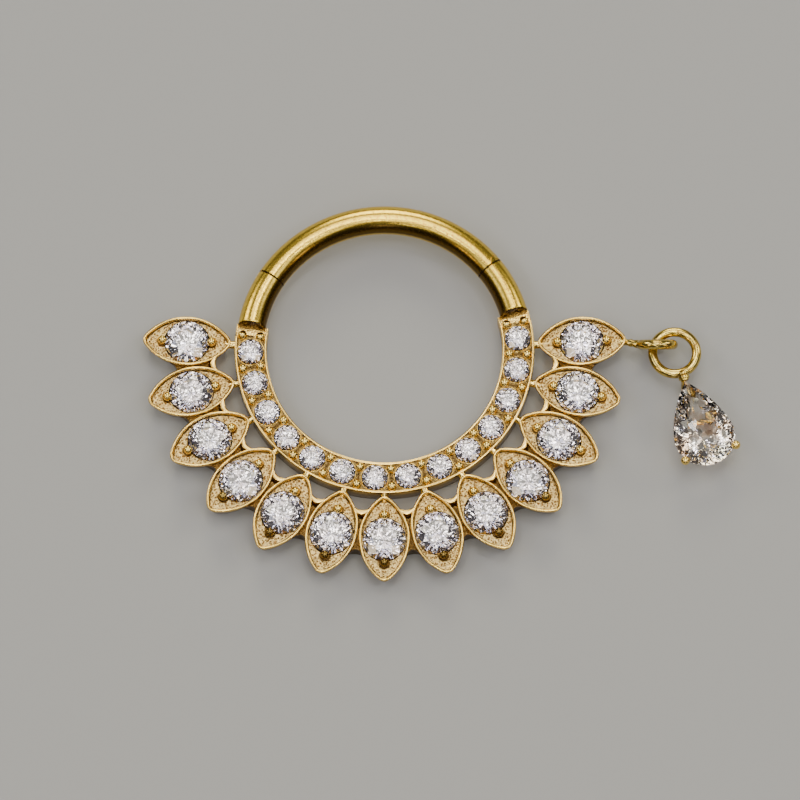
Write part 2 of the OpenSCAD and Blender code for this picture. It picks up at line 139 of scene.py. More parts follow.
@dataclass
class Skin:
    """Points and faces of a piece, in millimetres, with the kind of surface at each point."""

    points: list[np.ndarray] = field(default_factory=list)
    faces: list[tuple[int, ...]] = field(default_factory=list)
    kinds: list[Surface] = field(default_factory=list)

    def loft(
        self,
        loops: np.ndarray,
        kinds: Surface | list[Surface] = Surface.POLISH,
        cap: Cap = Cap.FLAT,
        closed: bool = True,
    ) -> "Skin":
        """Joins loops of equal point counts with quads.

        Args:
            loops: Array of shape (loops, points, 3).
            kinds: One kind of surface for the whole loft, or one for each loop.
            cap: How the first and last loops are closed.
            closed: Whether each loop's last point joins its first.

        Returns:
            The skin itself.
        """
        rows, cols = loops.shape[:2]
        start = len(self.kinds)
        self.points.append(loops.reshape(-1, 3))
        values = kinds if isinstance(kinds, list) else [kinds] * rows
        self.kinds += [value for value in values for _ in range(cols)]
        for i in range(rows if cap is Cap.RING else rows - 1):
            low = start + i * cols
            high = start + (i + 1) % rows * cols
            for j in range(cols if closed else cols - 1):
                k = (j + 1) % cols
                self.faces.append((low + j, low + k, high + k, high + j))
        if cap is Cap.FLAT:
            self.faces.append(tuple(start + j for j in reversed(range(cols))))
            self.faces.append(tuple(start + (rows - 1) * cols + j for j in range(cols)))
        return self

    def mesh(self, name: str, centre: HoopCentre | None = None) -> Mesh:
        """Makes a Blender mesh with merged doubles and outward faces.

        Args:
            name: Name of the mesh.
            centre: The hoop's centre, or None for a unit that stays round its own origin.

        Returns:
            The mesh, in metres.
        """
        points = np.concatenate(self.points)
        placed = points * MM if centre is None else centre.place(points)
        mesh = bpy.data.meshes.new(name)
        mesh.from_pydata(placed.tolist(), [], self.faces)
        # Each point carries its sandiness and its painted shade
        for column, label in enumerate((GRAIN, PAINTED_SHADE)):
            attribute = mesh.attributes.new(label, "FLOAT", "POINT")
            values = [kind.value[column] for kind in self.kinds]
            attribute.data.foreach_set("value", np.array(values, np.float32))
        work = bmesh.new()
        work.from_mesh(mesh)
        bmesh.ops.remove_doubles(work, verts=work.verts, dist=WELD)
        bmesh.ops.dissolve_degenerate(work, edges=work.edges, dist=WELD / 2)
        bmesh.ops.recalc_face_normals(work, faces=work.faces)
        work.to_mesh(mesh)
        work.free()
        mesh.update()
        return mesh


def dress(mesh: Mesh, material: Material) -> None:
    """Gives a mesh one material all over and shades it smooth, with its sharp edges kept.

    Args:
        mesh: The mesh, changed in place.
        material: Its material.
    """
    mesh.materials.clear()
    mesh.materials.append(material)
    mesh.polygons.foreach_set("material_index", [0] * len(mesh.polygons))
    mesh.shade_smooth()
    mesh.set_sharp_from_angle(angle=math.radians(SHARP_ANGLE))


def new_object(name: str, mesh: Mesh) -> bpy.types.Object:
    """Links a mesh to the scene as an object at the origin.

    Args:
        name: Name of the object.
        mesh: Its mesh.

    Returns:
        The object.
    """
    obj = bpy.data.objects.new(name, mesh)
    bpy.context.scene.collection.objects.link(obj)
    return obj


def settle(obj: bpy.types.Object, material: Material, node: str) -> None:
    """Dresses a finished piece and hands it to the frame, on the root body.

    Args:
        obj: The piece.
        material: Its material.
        node: CAD node that it stands for.
    """
    dress(obj.data, material)
    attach(obj, ROOT)
    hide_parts(node)
    LOG.info("%s: %d faces on %s", obj.name, len(obj.data.polygons), ROOT)


def apply_modifier(obj: bpy.types.Object, modifier: bpy.types.Modifier) -> None:
    """Turns an object's modified form into its plain mesh.

    Args:
        obj: The object, changed in place.
        modifier: Its only modifier, which is removed.
    """
    graph = bpy.context.evaluated_depsgraph_get()
    form = obj.evaluated_get(graph)
    mesh = bpy.data.meshes.new_from_object(form, preserve_all_data_layers=True, depsgraph=graph)
    obj.modifiers.remove(modifier)
    obj.data = mesh


def carve(obj: bpy.types.Object, cutters: list[Mesh]) -> None:
    """Cuts closed shapes out of an object.

    Args:
        obj: The object, changed in place.
        cutters: Closed meshes in the object's frame; each is deleted after its cut.
    """
    for cutter in cutters:
        tool = new_object("cutter", cutter)
        modifier = obj.modifiers.new("cut", "BOOLEAN")
        modifier.operation = "DIFFERENCE"
        modifier.solver = "EXACT"
        modifier.object = tool
        apply_modifier(obj, modifier)
        bpy.data.objects.remove(tool)
        bpy.data.meshes.remove(cutter)


def weld(name: str, parts: list[bpy.types.Object]) -> bpy.types.Object:
    """Joins objects into one and welds their touching edges.

    Args:
        name: Name of the joined object.
        parts: The objects, which are removed.

    Returns:
        The joined object.
    """
    work = bmesh.new()
    for part in parts:
        work.from_mesh(part.data)
        bpy.data.objects.remove(part)
    bmesh.ops.remove_doubles(work, verts=work.verts, dist=WELD)
    bmesh.ops.recalc_face_normals(work, faces=work.faces)
    mesh = bpy.data.meshes.new(name)
    work.to_mesh(mesh)
    work.free()
    return new_object(name, mesh)


def sweep(radius: float, angles: Iterable[float], height: float = 0.0) -> Pairs:
    """Points of a circle's edge, at angles in radians and round a middle at a height."""
    return [(radius * math.cos(a), height + radius * math.sin(a)) for a in angles]


def lathe(profile: Pairs, sides: int) -> np.ndarray:
    """Turns a profile round the Z axis.

    Args:
        profile: Pairs of radius and height.
        sides: Number of points in each loop.

    Returns:
        Loops for Skin.loft.
    """
    turn = np.arange(sides) * FULL_TURN / sides
    loops = [np.stack([r * np.cos(turn), r * np.sin(turn), np.full(sides, z)], axis=1) for r, z in profile]
    return np.array(loops)


def rod(start: np.ndarray, end: np.ndarray, radii: Pairs, sides: int = 20) -> np.ndarray:
    """Turns a profile round the line between two points.

    Args:
        start: First point of the axis.
        end: Last point of the axis.
        radii: Pairs of share of the length and radius there.
        sides: Number of points in each loop.

    Returns:
        Loops for Skin.loft.
    """
    axis = Vector(end - start)
    turn = axis.to_track_quat("Z", "Y").to_matrix()
    loops = lathe([(r, share * axis.length) for share, r in radii], sides)
    return loops @ np.array(turn).T + start


def torus(path_r: float, wire_r: float, along: int, sides: int) -> np.ndarray:
    """Makes the loops of a closed ring of wire round the Z axis.

    Args:
        path_r: Radius of the wire's centre line.
        wire_r: Radius of the wire.
        along: Number of loops.
        sides: Number of points in each loop.

    Returns:
        Loops for Skin.loft with Cap.RING.
    """
    turn = np.arange(along)[:, None] * FULL_TURN / along
    section = np.arange(sides)[None, :] * FULL_TURN / sides
    reach = path_r + wire_r * np.cos(section)
    height = np.broadcast_to(wire_r * np.sin(section), (along, sides))
    return np.stack([reach * np.cos(turn), reach * np.sin(turn), height], axis=2)


def polar(radius: np.ndarray | float, angle: np.ndarray | float, height: np.ndarray | float) -> np.ndarray:
    """Gives points from radius, angle in degrees and height."""
    radius, angle, height = np.broadcast_arrays(radius, np.radians(angle), height)
    return np.stack([radius * np.cos(angle), radius * np.sin(angle), height], axis=-1)


def level(flat: np.ndarray, height: float) -> np.ndarray:
    """Lifts an outline in the plane to a height."""
    return np.column_stack([flat, np.full(len(flat), height)])


def spin(angle: float) -> np.ndarray:
    """Gives the matrix that turns rows of points about Z by an angle in degrees."""
    c, s = math.cos(math.radians(angle)), math.sin(math.radians(angle))
    return np.array([[c, s, 0.0], [-s, c, 0.0], [0.0, 0.0, 1.0]])


@dataclass(frozen=True)
class NodeDesk:
    """Small helper that lays and links nodes in one tree."""

    tree: bpy.types.NodeTree

    @classmethod
    def group(
        cls, name: str, kind: str, inputs: dict[str, tuple[str, ...]], outputs: dict[str, tuple[str, ...]]
    ) -> tuple["NodeDesk", bpy.types.NodeOutputs, bpy.types.NodeInputs]:
        """Starts a node group.

        Args:
            name: Name of the group.
            kind: Type name of its tree.
            inputs: Names of its inputs, by kind of socket.
            outputs: Names of its outputs, by kind of socket.

        Returns:
            A desk for the group, the sockets that it is given, and the sockets that take its results.
        """
        tree = bpy.data.node_groups.new(name, kind)
        for way, sockets in (("INPUT", inputs), ("OUTPUT", outputs)):
            for value, labels in sockets.items():
                for label in labels:
                    tree.interface.new_socket(label, in_out=way, socket_type="NodeSocket" + value)
        given = tree.nodes.new("NodeGroupInput").outputs
        return cls(tree), given, tree.nodes.new("NodeGroupOutput").inputs

    def feed(self, socket: Socket, value: object) -> None:
        """Links a socket to another, or sets its value.

        Args:
            socket: The socket that is fed.
            value: Another socket, or a plain value.
        """
        if isinstance(value, Socket):
            self.tree.links.new(value, socket)
        else:
            socket.default_value = value

    def node(self, kind: str, settings: dict[str, object] | None = None, **inputs: object) -> Node:
        """Adds a node.

        Args:
            kind: The node's type name.
            settings: Properties to set on it.
            **inputs: Socket values or sockets, named with underscores for spaces.

        Returns:
            The node.
        """
        node = self.tree.nodes.new(kind)
        for key, value in (settings or {}).items():
            setattr(node, key, value)
        for key, value in inputs.items():
            self.feed(node.inputs[key.replace("_", " ")], value)
        return node

    def math(self, operation: str, *values: object) -> Socket:
        """Adds a Math node.

        Args:
            operation: Its operation.
            *values: Sockets or numbers for its inputs, in order.

        Returns:
            Its output.
        """
        node = self.node("ShaderNodeMath", {"operation": operation})
        for socket, value in zip(node.inputs, values):
            self.feed(socket, value)
        return node.outputs[0]

    def vector(self, operation: str, first: object, second: object = None) -> Socket:
        """Adds a Vector Math node.

        Args:
            operation: Its operation.
            first: Vector, or a socket that gives one.
            second: Second vector, or the factor of a scale.

        Returns:
            Its output.
        """
        node = self.node("ShaderNodeVectorMath", {"operation": operation})
        self.feed(node.inputs[0], first)
        if second is not None:
            self.feed(node.inputs["Scale" if operation == "SCALE" else 1], second)
        return node.outputs["Value" if operation == "DOT_PRODUCT" else "Vector"]

    def mix(self, factor: object, first: object, second: object) -> Socket:
        """Adds a colour Mix node.

        Args:
            factor: Share of the second colour.
            first: First colour.
            second: Second colour.

        Returns:
            Its output.
        """
        node = self.node("ShaderNodeMix", {"data_type": "RGBA", "clamp_factor": True})
        colours = [s for s in node.inputs if s.type == "RGBA"]
        for socket, value in zip((node.inputs[0], *colours), (factor, first, second)):
            self.feed(socket, value)
        return next(s for s in node.outputs if s.type == "RGBA")

    def ramp(self, value: object, low: float, high: float, to_low: float, to_high: object) -> Socket:
        """Adds a clamped Map Range node.

        Args:
            value: The value that is mapped.
            low: Value that gives to_low.
            high: Value that gives to_high.
            to_low: First result.
            to_high: Last result.

        Returns:
            Its output.
        """
        node = self.node(
            "ShaderNodeMapRange", {"clamp": True},
            Value=value, From_Min=low, From_Max=high, To_Min=to_low, To_Max=to_high,
        )
        return node.outputs[0]


@dataclass
class HoopRow:
    """Equal units in a row round the hoop, welded, with rough sand. Angles are degrees, sizes millimetres.

    A unit has +X pointing away from the hoop's centre. The jitter is the largest change of a unit's size, as
    a share, and the relief is the height of the sand's clumps.
    """

    centre: HoopCentre
    count: int
    pitch: float
    first: float
    radius: float = 0.0
    jitter: float = 0.0
    relief: float = 0.0

    NAME = "Row round the hoop"
    SEED = 7
    SANDY = 0.9
    CLUMPS = 7500.0
    NOISE_MIDDLE = 0.5

    @classmethod
    @cache
    def tree(cls) -> bpy.types.GeometryNodeTree:
        """Builds the Geometry Nodes tree, once.

        Returns:
            A tree whose input geometry is the unit and whose output is the finished row.
        """
        sizes = ("Pitch", "First Angle", "Radius", "Size Jitter", "Weld Distance")
        inputs = {
            "Geometry": ("Geometry",),
            "Int": ("Count", "Seed"),
            "Float": (*sizes, "Grain Relief", "Grain Scale"),
            "Vector": ("Centre",),
            "Material": ("Material",),
        }
        outputs = {"Geometry": ("Geometry",)}
        desk, given, result = NodeDesk.group(cls.NAME, "GeometryNodeTree", inputs, outputs)
        index = desk.node("GeometryNodeInputIndex").outputs[0]
        angle = desk.math("MULTIPLY_ADD", index, given["Pitch"], given["First Angle"])
        reach = desk.node(
            "ShaderNodeCombineXYZ",
            X=desk.math("MULTIPLY", desk.math("COSINE", angle), given["Radius"]),
            Y=desk.math("MULTIPLY", desk.math("SINE", angle), given["Radius"]),
        )
        points = desk.node("GeometryNodePoints", Count=given["Count"], Position=given["Centre"])
        spread = desk.node("GeometryNodeSetPosition", Geometry=points.outputs[0], Offset=reach.outputs[0])
        rotation = desk.node("FunctionNodeEulerToRotation")
        desk.feed(rotation.inputs[0], desk.node("ShaderNodeCombineXYZ", Z=angle).outputs[0])
        size = desk.node("FunctionNodeRandomValue", {"data_type": "FLOAT"}, Seed=given["Seed"])
        limits = [s for s in size.inputs if s.type == "VALUE"]
        for socket, operation in zip(limits, ("SUBTRACT", "ADD")):
            desk.feed(socket, desk.math(operation, 1.0, given["Size Jitter"]))
        copies = desk.node(
            "GeometryNodeInstanceOnPoints",
            Points=spread.outputs[0],
            Instance=given["Geometry"],
            Rotation=rotation.outputs[0],
            Scale=next(s for s in size.outputs if s.type == "VALUE"),
        )
        real = desk.node("GeometryNodeRealizeInstances", Geometry=copies.outputs[0])
        welded = desk.node(
            "GeometryNodeMergeByDistance", Geometry=real.outputs[0], Distance=given["Weld Distance"]
        )
        sand = desk.node("GeometryNodeInputNamedAttribute", {"data_type": "FLOAT"}, Name=GRAIN)
        clumps = desk.node("ShaderNodeTexNoise", Scale=given["Grain Scale"])
        height = desk.math("SUBTRACT", clumps.outputs[0], cls.NOISE_MIDDLE)
        mask = desk.math("GREATER_THAN", sand.outputs[0], cls.SANDY)
        height = desk.math("MULTIPLY", desk.math("MULTIPLY", height, given["Grain Relief"]), mask)
        lift = desk.node("ShaderNodeCombineXYZ", Z=height)
        rough = desk.node("GeometryNodeSetPosition", Geometry=welded.outputs[0], Offset=lift.outputs[0])
        paint = desk.node("GeometryNodeSetMaterial", Geometry=rough.outputs[0], Material=given["Material"])
        desk.feed(result["Geometry"], paint.outputs[0])
        return desk.tree

    def make(self, name: str, unit: Mesh, material: Material) -> bpy.types.Object:
        """Repeats a unit round the hoop and turns the result into a plain mesh.

        Args:
            name: Name of the new object.
            unit: Mesh of one unit, which is deleted.
            material: The row's material.

        Returns:
            The row as an object with a plain mesh.
        """
        obj = new_object(name, unit)
        modifier = obj.modifiers.new(self.NAME, "NODES")
        modifier.node_group = self.tree()
        values = {
            "Count": self.count,
            "Pitch": math.radians(self.pitch),
            "First Angle": math.radians(self.first),
            "Radius": self.radius * MM,
            "Size Jitter": self.jitter,
            "Weld Distance": WELD,
            "Grain Relief": self.relief * MM,
            "Grain Scale": self.CLUMPS,
            "Centre": self.centre.metres,
            "Seed": self.SEED,
            "Material": material,
        }
        for item in self.tree().interface.items_tree:
            if item.name in values:
                modifier[item.identifier] = values[item.name]
        apply_modifier(obj, modifier)
        obj.data.name = name
        bpy.data.meshes.remove(unit)
        return obj


class GoldGrain:
    """Shader group with the colour, roughness and relief of cast gold, from mirror polish to sandy recess,
    with brown painted shade mixed over the colour.
    """

    NAME = "Gold grain"
    DUST_SCALE = 1.7
    DUST_DETAIL = 3.0
    DUST_SHARE = 0.7
    CLOUD_DETAIL = 5.0
    CLOUD_ROUGHNESS = 0.65
    STAIN_LOW = 0.45
    STAIN_HIGH = 0.68
    STAIN_DULL = 0.16
    PIT_LOW = 0.66
    PIT_HIGH = 0.86
    PIT_SHADE = 0.95

    @classmethod
    @cache
    def group(cls) -> bpy.types.ShaderNodeTree:
        """Builds the group, once.

        Returns:
            A group that puts out Color, Roughness and Height.
        """
        floats = ("Sand", "Soil", "Sand Scale", "Mottle", "Mottle Scale", "Dents", "Polish Roughness")
        desk, given, result = NodeDesk.group(
            cls.NAME,
            "ShaderNodeTree",
            {"Color": ("Bright", "Pale", "Deep", "Brown"), "Float": (*floats, "Sand Roughness")},
            {"Color": ("Color",), "Float": ("Roughness", "Height")},
        )
        sand, mottle = given["Sand"], given["Mottle"]
        place = desk.node("ShaderNodeTexCoord").outputs["Object"]
        cells = desk.node("ShaderNodeTexVoronoi", Vector=place, Scale=given["Sand Scale"])
        dust_scale = desk.math("MULTIPLY", given["Sand Scale"], cls.DUST_SCALE)
        dust = desk.node("ShaderNodeTexNoise", Vector=place, Scale=dust_scale, Detail=cls.DUST_DETAIL)
        bump = desk.math("MULTIPLY_ADD", dust.outputs["Fac"], cls.DUST_SHARE, cells.outputs["Distance"])
        clouds = desk.node(
            "ShaderNodeTexNoise",
            Vector=place,
            Scale=given["Mottle Scale"],
            Detail=cls.CLOUD_DETAIL,
            Roughness=cls.CLOUD_ROUGHNESS,
        ).outputs["Fac"]
        stain = desk.math("MULTIPLY", desk.ramp(clouds, cls.STAIN_LOW, cls.STAIN_HIGH, 0.0, 1.0), mottle)
        pits = desk.ramp(bump, cls.PIT_LOW, cls.PIT_HIGH, cls.PIT_SHADE, 0.0)
        dark = desk.math("MAXIMUM", desk.math("MULTIPLY", pits, sand), stain)
        metal = desk.mix(dark, desk.mix(sand, given["Bright"], given["Pale"]), given["Deep"])
        # The brown mixed over the metal here is painted shade
        desk.feed(result["Color"], desk.mix(given["Soil"], metal, given["Brown"]))
        span = desk.math("SUBTRACT", given["Sand Roughness"], given["Polish Roughness"])
        base = desk.math("MULTIPLY_ADD", sand, span, given["Polish Roughness"])
        desk.feed(result["Roughness"], desk.math("MULTIPLY_ADD", stain, cls.STAIN_DULL, base))
        fine = desk.math("MULTIPLY", desk.math("MULTIPLY", clouds, mottle), given["Dents"])
        desk.feed(result["Height"], desk.math("MULTIPLY_ADD", bump, sand, fine))
        return desk.tree


@dataclass(frozen=True)
class LocalShade:
    """Painted shade in brown, placed by where a point lies round the hoop's centre. Sizes are metres."""

    x: float
    y: float

    def local(self, desk: NodeDesk) -> tuple[Socket, Socket, Socket]:
        """Lays the nodes of the point's place.

        Args:
            desk: Helper of the material's tree.

        Returns:
            The place from the hoop's centre as a vector, its distance from the hoop's axis, and its height.
        """
        place = desk.node("ShaderNodeTexCoord").outputs["Object"]
        local = desk.vector("SUBTRACT", place, (self.x, self.y, 0.0))
        axes = desk.node("ShaderNodeSeparateXYZ", Vector=local).outputs
        square = desk.math("MULTIPLY_ADD", axes["X"], axes["X"], desk.math("MULTIPLY", axes["Y"], axes["Y"]))
        return local, desk.math("SQRT", square), axes["Z"]

    def mask(self, desk: NodeDesk) -> Socket:
        """Lays the nodes of the painted shade and gives its strength."""
        raise NotImplementedError


@dataclass(frozen=True)
class ProngShade(LocalShade):
    """Painted shade in brown on the outer prongs at the lower end of the fan."""

    near_r: float = 9.0 * MM
    far_r: float = 9.15 * MM
    high_y: float = -5.0 * MM
    low_y: float = -7.0 * MM
    amount: float = 0.85

    def mask(self, desk: NodeDesk) -> Socket:
        """Lays the nodes of the painted shade.

        Args:
            desk: Helper of the material's tree.

        Returns:
            The painted shade's strength.
        """
        local, reach, _ = self.local(desk)
        outer = desk.ramp(reach, self.near_r, self.far_r, 0.0, 1.0)
        beside = desk.node("ShaderNodeSeparateXYZ", Vector=local).outputs["Y"]
        low = desk.ramp(beside, self.high_y, self.low_y, 0.0, 1.0)
        return desk.math("MULTIPLY", desk.math("MULTIPLY", outer, low), self.amount)


@dataclass(frozen=True)
class WireShadeAndSeams(LocalShade):
    """Painted shade in brown on the inner side of the wire, and dark lines in its two seams.

    The painted shade starts and is full at shares of the wire's radius: inwards of its centre line, and above
    it.
    """

    path_r: float = 5.69 * MM
    wire_r: float = 0.6 * MM
    wire_z: float = 1.2 * MM
    inner_start: float = 0.2
    inner_full: float = 0.65
    above_full: float = 0.22
    amount: float = 0.92
    seams: tuple[float, ...] = (38.0, 147.5)
    seam_w: float = 0.05 * MM
    seam_core: float = 0.6

    def mask(self, desk: NodeDesk) -> Socket:
        """Lays the nodes of the painted shade and the seam lines.

        Args:
            desk: Helper of the material's tree.

        Returns:
            The strength of the painted shade and the seam lines.
        """
        local, reach, height = self.local(desk)
        start = self.path_r - self.inner_start * self.wire_r
        inner = desk.ramp(reach, start, self.path_r - self.inner_full * self.wire_r, 0.0, 1.0)
        above = desk.ramp(height, self.wire_z, self.wire_z + self.above_full * self.wire_r, 0.0, 1.0)
        mask = desk.math("MULTIPLY", desk.math("MULTIPLY", inner, above), self.amount)
        for seam in self.seams:
            turn = math.radians(seam)
            across = desk.vector("DOT_PRODUCT", local, (-math.sin(turn), math.cos(turn), 0.0))
            core = self.seam_core * self.seam_w
            line = desk.ramp(desk.math("ABSOLUTE", across), core, self.seam_w, 1.0, 0.0)
            mask = desk.math("MAXIMUM", mask, line)
        return mask


@dataclass(frozen=True)
class Finish:
    """A finish whose fields feed the inputs of the same name on its shader group."""

    name: str

    def lay(self, group: bpy.types.ShaderNodeTree) -> tuple[Material, NodeDesk, Node, Node]:
        """Starts the material.

        Args:
            group: The shader group.

        Returns:
            The material, a desk for its tree, its shader, and the group's node.
        """
        material = bpy.data.materials.new(self.name)
        material.use_nodes = True
        desk = NodeDesk(material.node_tree)
        skin = desk.node("ShaderNodeGroup", {"node_tree": group})
        for socket in skin.inputs:
            value = getattr(self, socket.name.lower().replace(" ", "_"), None)
            if value is not None:
                desk.feed(socket, value)
        return material, desk, material.node_tree.nodes["Principled BSDF"], skin


@dataclass(frozen=True)
class GoldFinish(Finish):
    """One finish of the gold. Scales are features in each metre, the relief is in metres."""

    bright: Colour
    deep: Colour = (0.19, 0.075, 0.018, 1.0)
    pale: Colour = (1.0, 0.74, 0.3, 1.0)
    # Colour of the painted shade
    brown: Colour = (0.06, 0.026, 0.006, 1.0)
    sand_scale: float = 11000.0
    mottle: float = 0.3
    mottle_scale: float = 3500.0
    dents: float = 0.06
    polish_roughness: float = 0.16
    sand_roughness: float = 0.3
    relief: float = 0.00004
    reads_surface: bool = True
    haze_and_shade: LocalShade | None = None

    def material(self) -> Material:
        """Builds the material.

        Returns:
            The material.
        """
        material, desk, shader, grain = self.lay(GoldGrain.group())
        # The painted shade comes from each point's surface kind, and from a zone of painted shade where one
        # is given
        if self.reads_surface:
            sand, soil = (
                desk.node("ShaderNodeAttribute", {"attribute_name": label}).outputs["Fac"]
                for label in (GRAIN, PAINTED_SHADE)
            )
            if self.haze_and_shade:
                soil = desk.math("MAXIMUM", soil, self.haze_and_shade.mask(desk))
            desk.feed(grain.inputs["Sand"], sand)
            desk.feed(grain.inputs["Soil"], soil)
        bump = desk.node("ShaderNodeBump", Height=grain.outputs["Height"], Strength=1.0, Distance=self.relief)
        shader.inputs["Metallic"].default_value = 1.0
        desk.feed(shader.inputs["Base Color"], grain.outputs["Color"])
        desk.feed(shader.inputs["Roughness"], grain.outputs["Roughness"])
        desk.feed(shader.inputs["Normal"], bump.outputs["Normal"])
        return material


class StoneSkin:
    """Shader group with the tint, haze and small uneven facets of a cut stone."""

    NAME = "Stone skin"
    FILM_DETAIL = 4.0
    TINT_LOW = 0.42
    TINT_HIGH = 0.6
    HAZE_LOW = 0.4
    HAZE_HIGH = 0.8
    LEAN_MIDDLE = (0.5, 0.5, 0.5)

    @classmethod
    @cache
    def group(cls) -> bpy.types.ShaderNodeTree:
        """Builds the group, once.

        Returns:
            A group that puts out Color, Roughness and Normal.
        """
        desk, given, result = NodeDesk.group(
            cls.NAME,
            "ShaderNodeTree",
            {"Color": ("Clear", "Tinged"), "Float": ("Haze", "Haze Scale", "Facet Scale", "Facet Tilt")},
            {"Color": ("Color",), "Float": ("Roughness",), "Vector": ("Normal",)},
        )
        place = desk.node("ShaderNodeTexCoord").outputs["Object"]
        haze_and_shade = desk.node(
            "ShaderNodeTexNoise", Vector=place, Scale=given["Haze Scale"], Detail=cls.FILM_DETAIL
        ).outputs["Fac"]
        tint = desk.ramp(haze_and_shade, cls.TINT_LOW, cls.TINT_HIGH, 0.0, 1.0)
        desk.feed(result["Color"], desk.mix(tint, given["Clear"], given["Tinged"]))
        desk.feed(result["Roughness"], desk.ramp(haze_and_shade, cls.HAZE_LOW, cls.HAZE_HIGH, 0.0, given["Haze"]))
        cells = desk.node("ShaderNodeTexVoronoi", Vector=place, Scale=given["Facet Scale"]).outputs["Color"]
        lean = desk.vector("SCALE", desk.vector("SUBTRACT", cells, cls.LEAN_MIDDLE), given["Facet Tilt"])
        flat = desk.node("ShaderNodeNewGeometry").outputs["Normal"]
        desk.feed(result["Normal"], desk.vector("NORMALIZE", desk.vector("ADD", flat, lean)))
        return desk.tree


@dataclass(frozen=True)
class StoneFinish(Finish):
    """Clear cut stone, with a very faint film and uneven facets. Scales are features in each metre."""

    clear: Colour = (0.96, 0.91, 0.96, 1.0)
    tinged: Colour = (0.76, 0.65, 0.7, 1.0)
    refraction: float = 2.16
    haze: float = 0.02
    haze_scale: float = 1800.0
    facet_scale: float = 5500.0
    facet_tilt: float = 0.05

    def material(self) -> Material:
        """Builds the material.

        Returns:
            The material.
        """
        material, desk, shader, skin = self.lay(StoneSkin.group())
        shader.inputs["Transmission Weight"].default_value = 1.0
        shader.inputs["IOR"].default_value = self.refraction
        for socket, output in (("Base Color", "Color"), ("Roughness", "Roughness"), ("Normal", "Normal")):
            desk.feed(shader.inputs[socket], skin.outputs[output])
        return material


@dataclass
class Brilliant:
    """Sizes of a round brilliant's seat, as shares of the stone's diameter; the gap is in millimetres."""

    girdle: float = 0.022
    pavilion: float = 0.43
    lower: float = 0.24
    fold: int = 8
    gap: float = 0.015
    hole: float = 0.42

    def seat(self, diameter: float, girdle_z: float) -> Pairs:
        """Profile of the seat below the girdle.

        Args:
            diameter: The stone's diameter.
            girdle_z: Height of the girdle's lower edge.

        Returns:
            Pairs of radius and height, from the seat's rim down to the back.
        """
        radius = diameter / 2
        depth = diameter * self.pavilion * (1 - self.lower * math.cos(math.pi / self.fold))
        slope = depth / (radius * (1 - self.lower))
        hole_r = self.hole * radius
        hole_z = girdle_z - slope * (radius - hole_r) - 2 * self.gap
        rim = (radius + self.gap, girdle_z - 2 * self.gap)
        return [rim, (hole_r, hole_z), (hole_r, self.gap), (hole_r + self.gap, 0.0)]


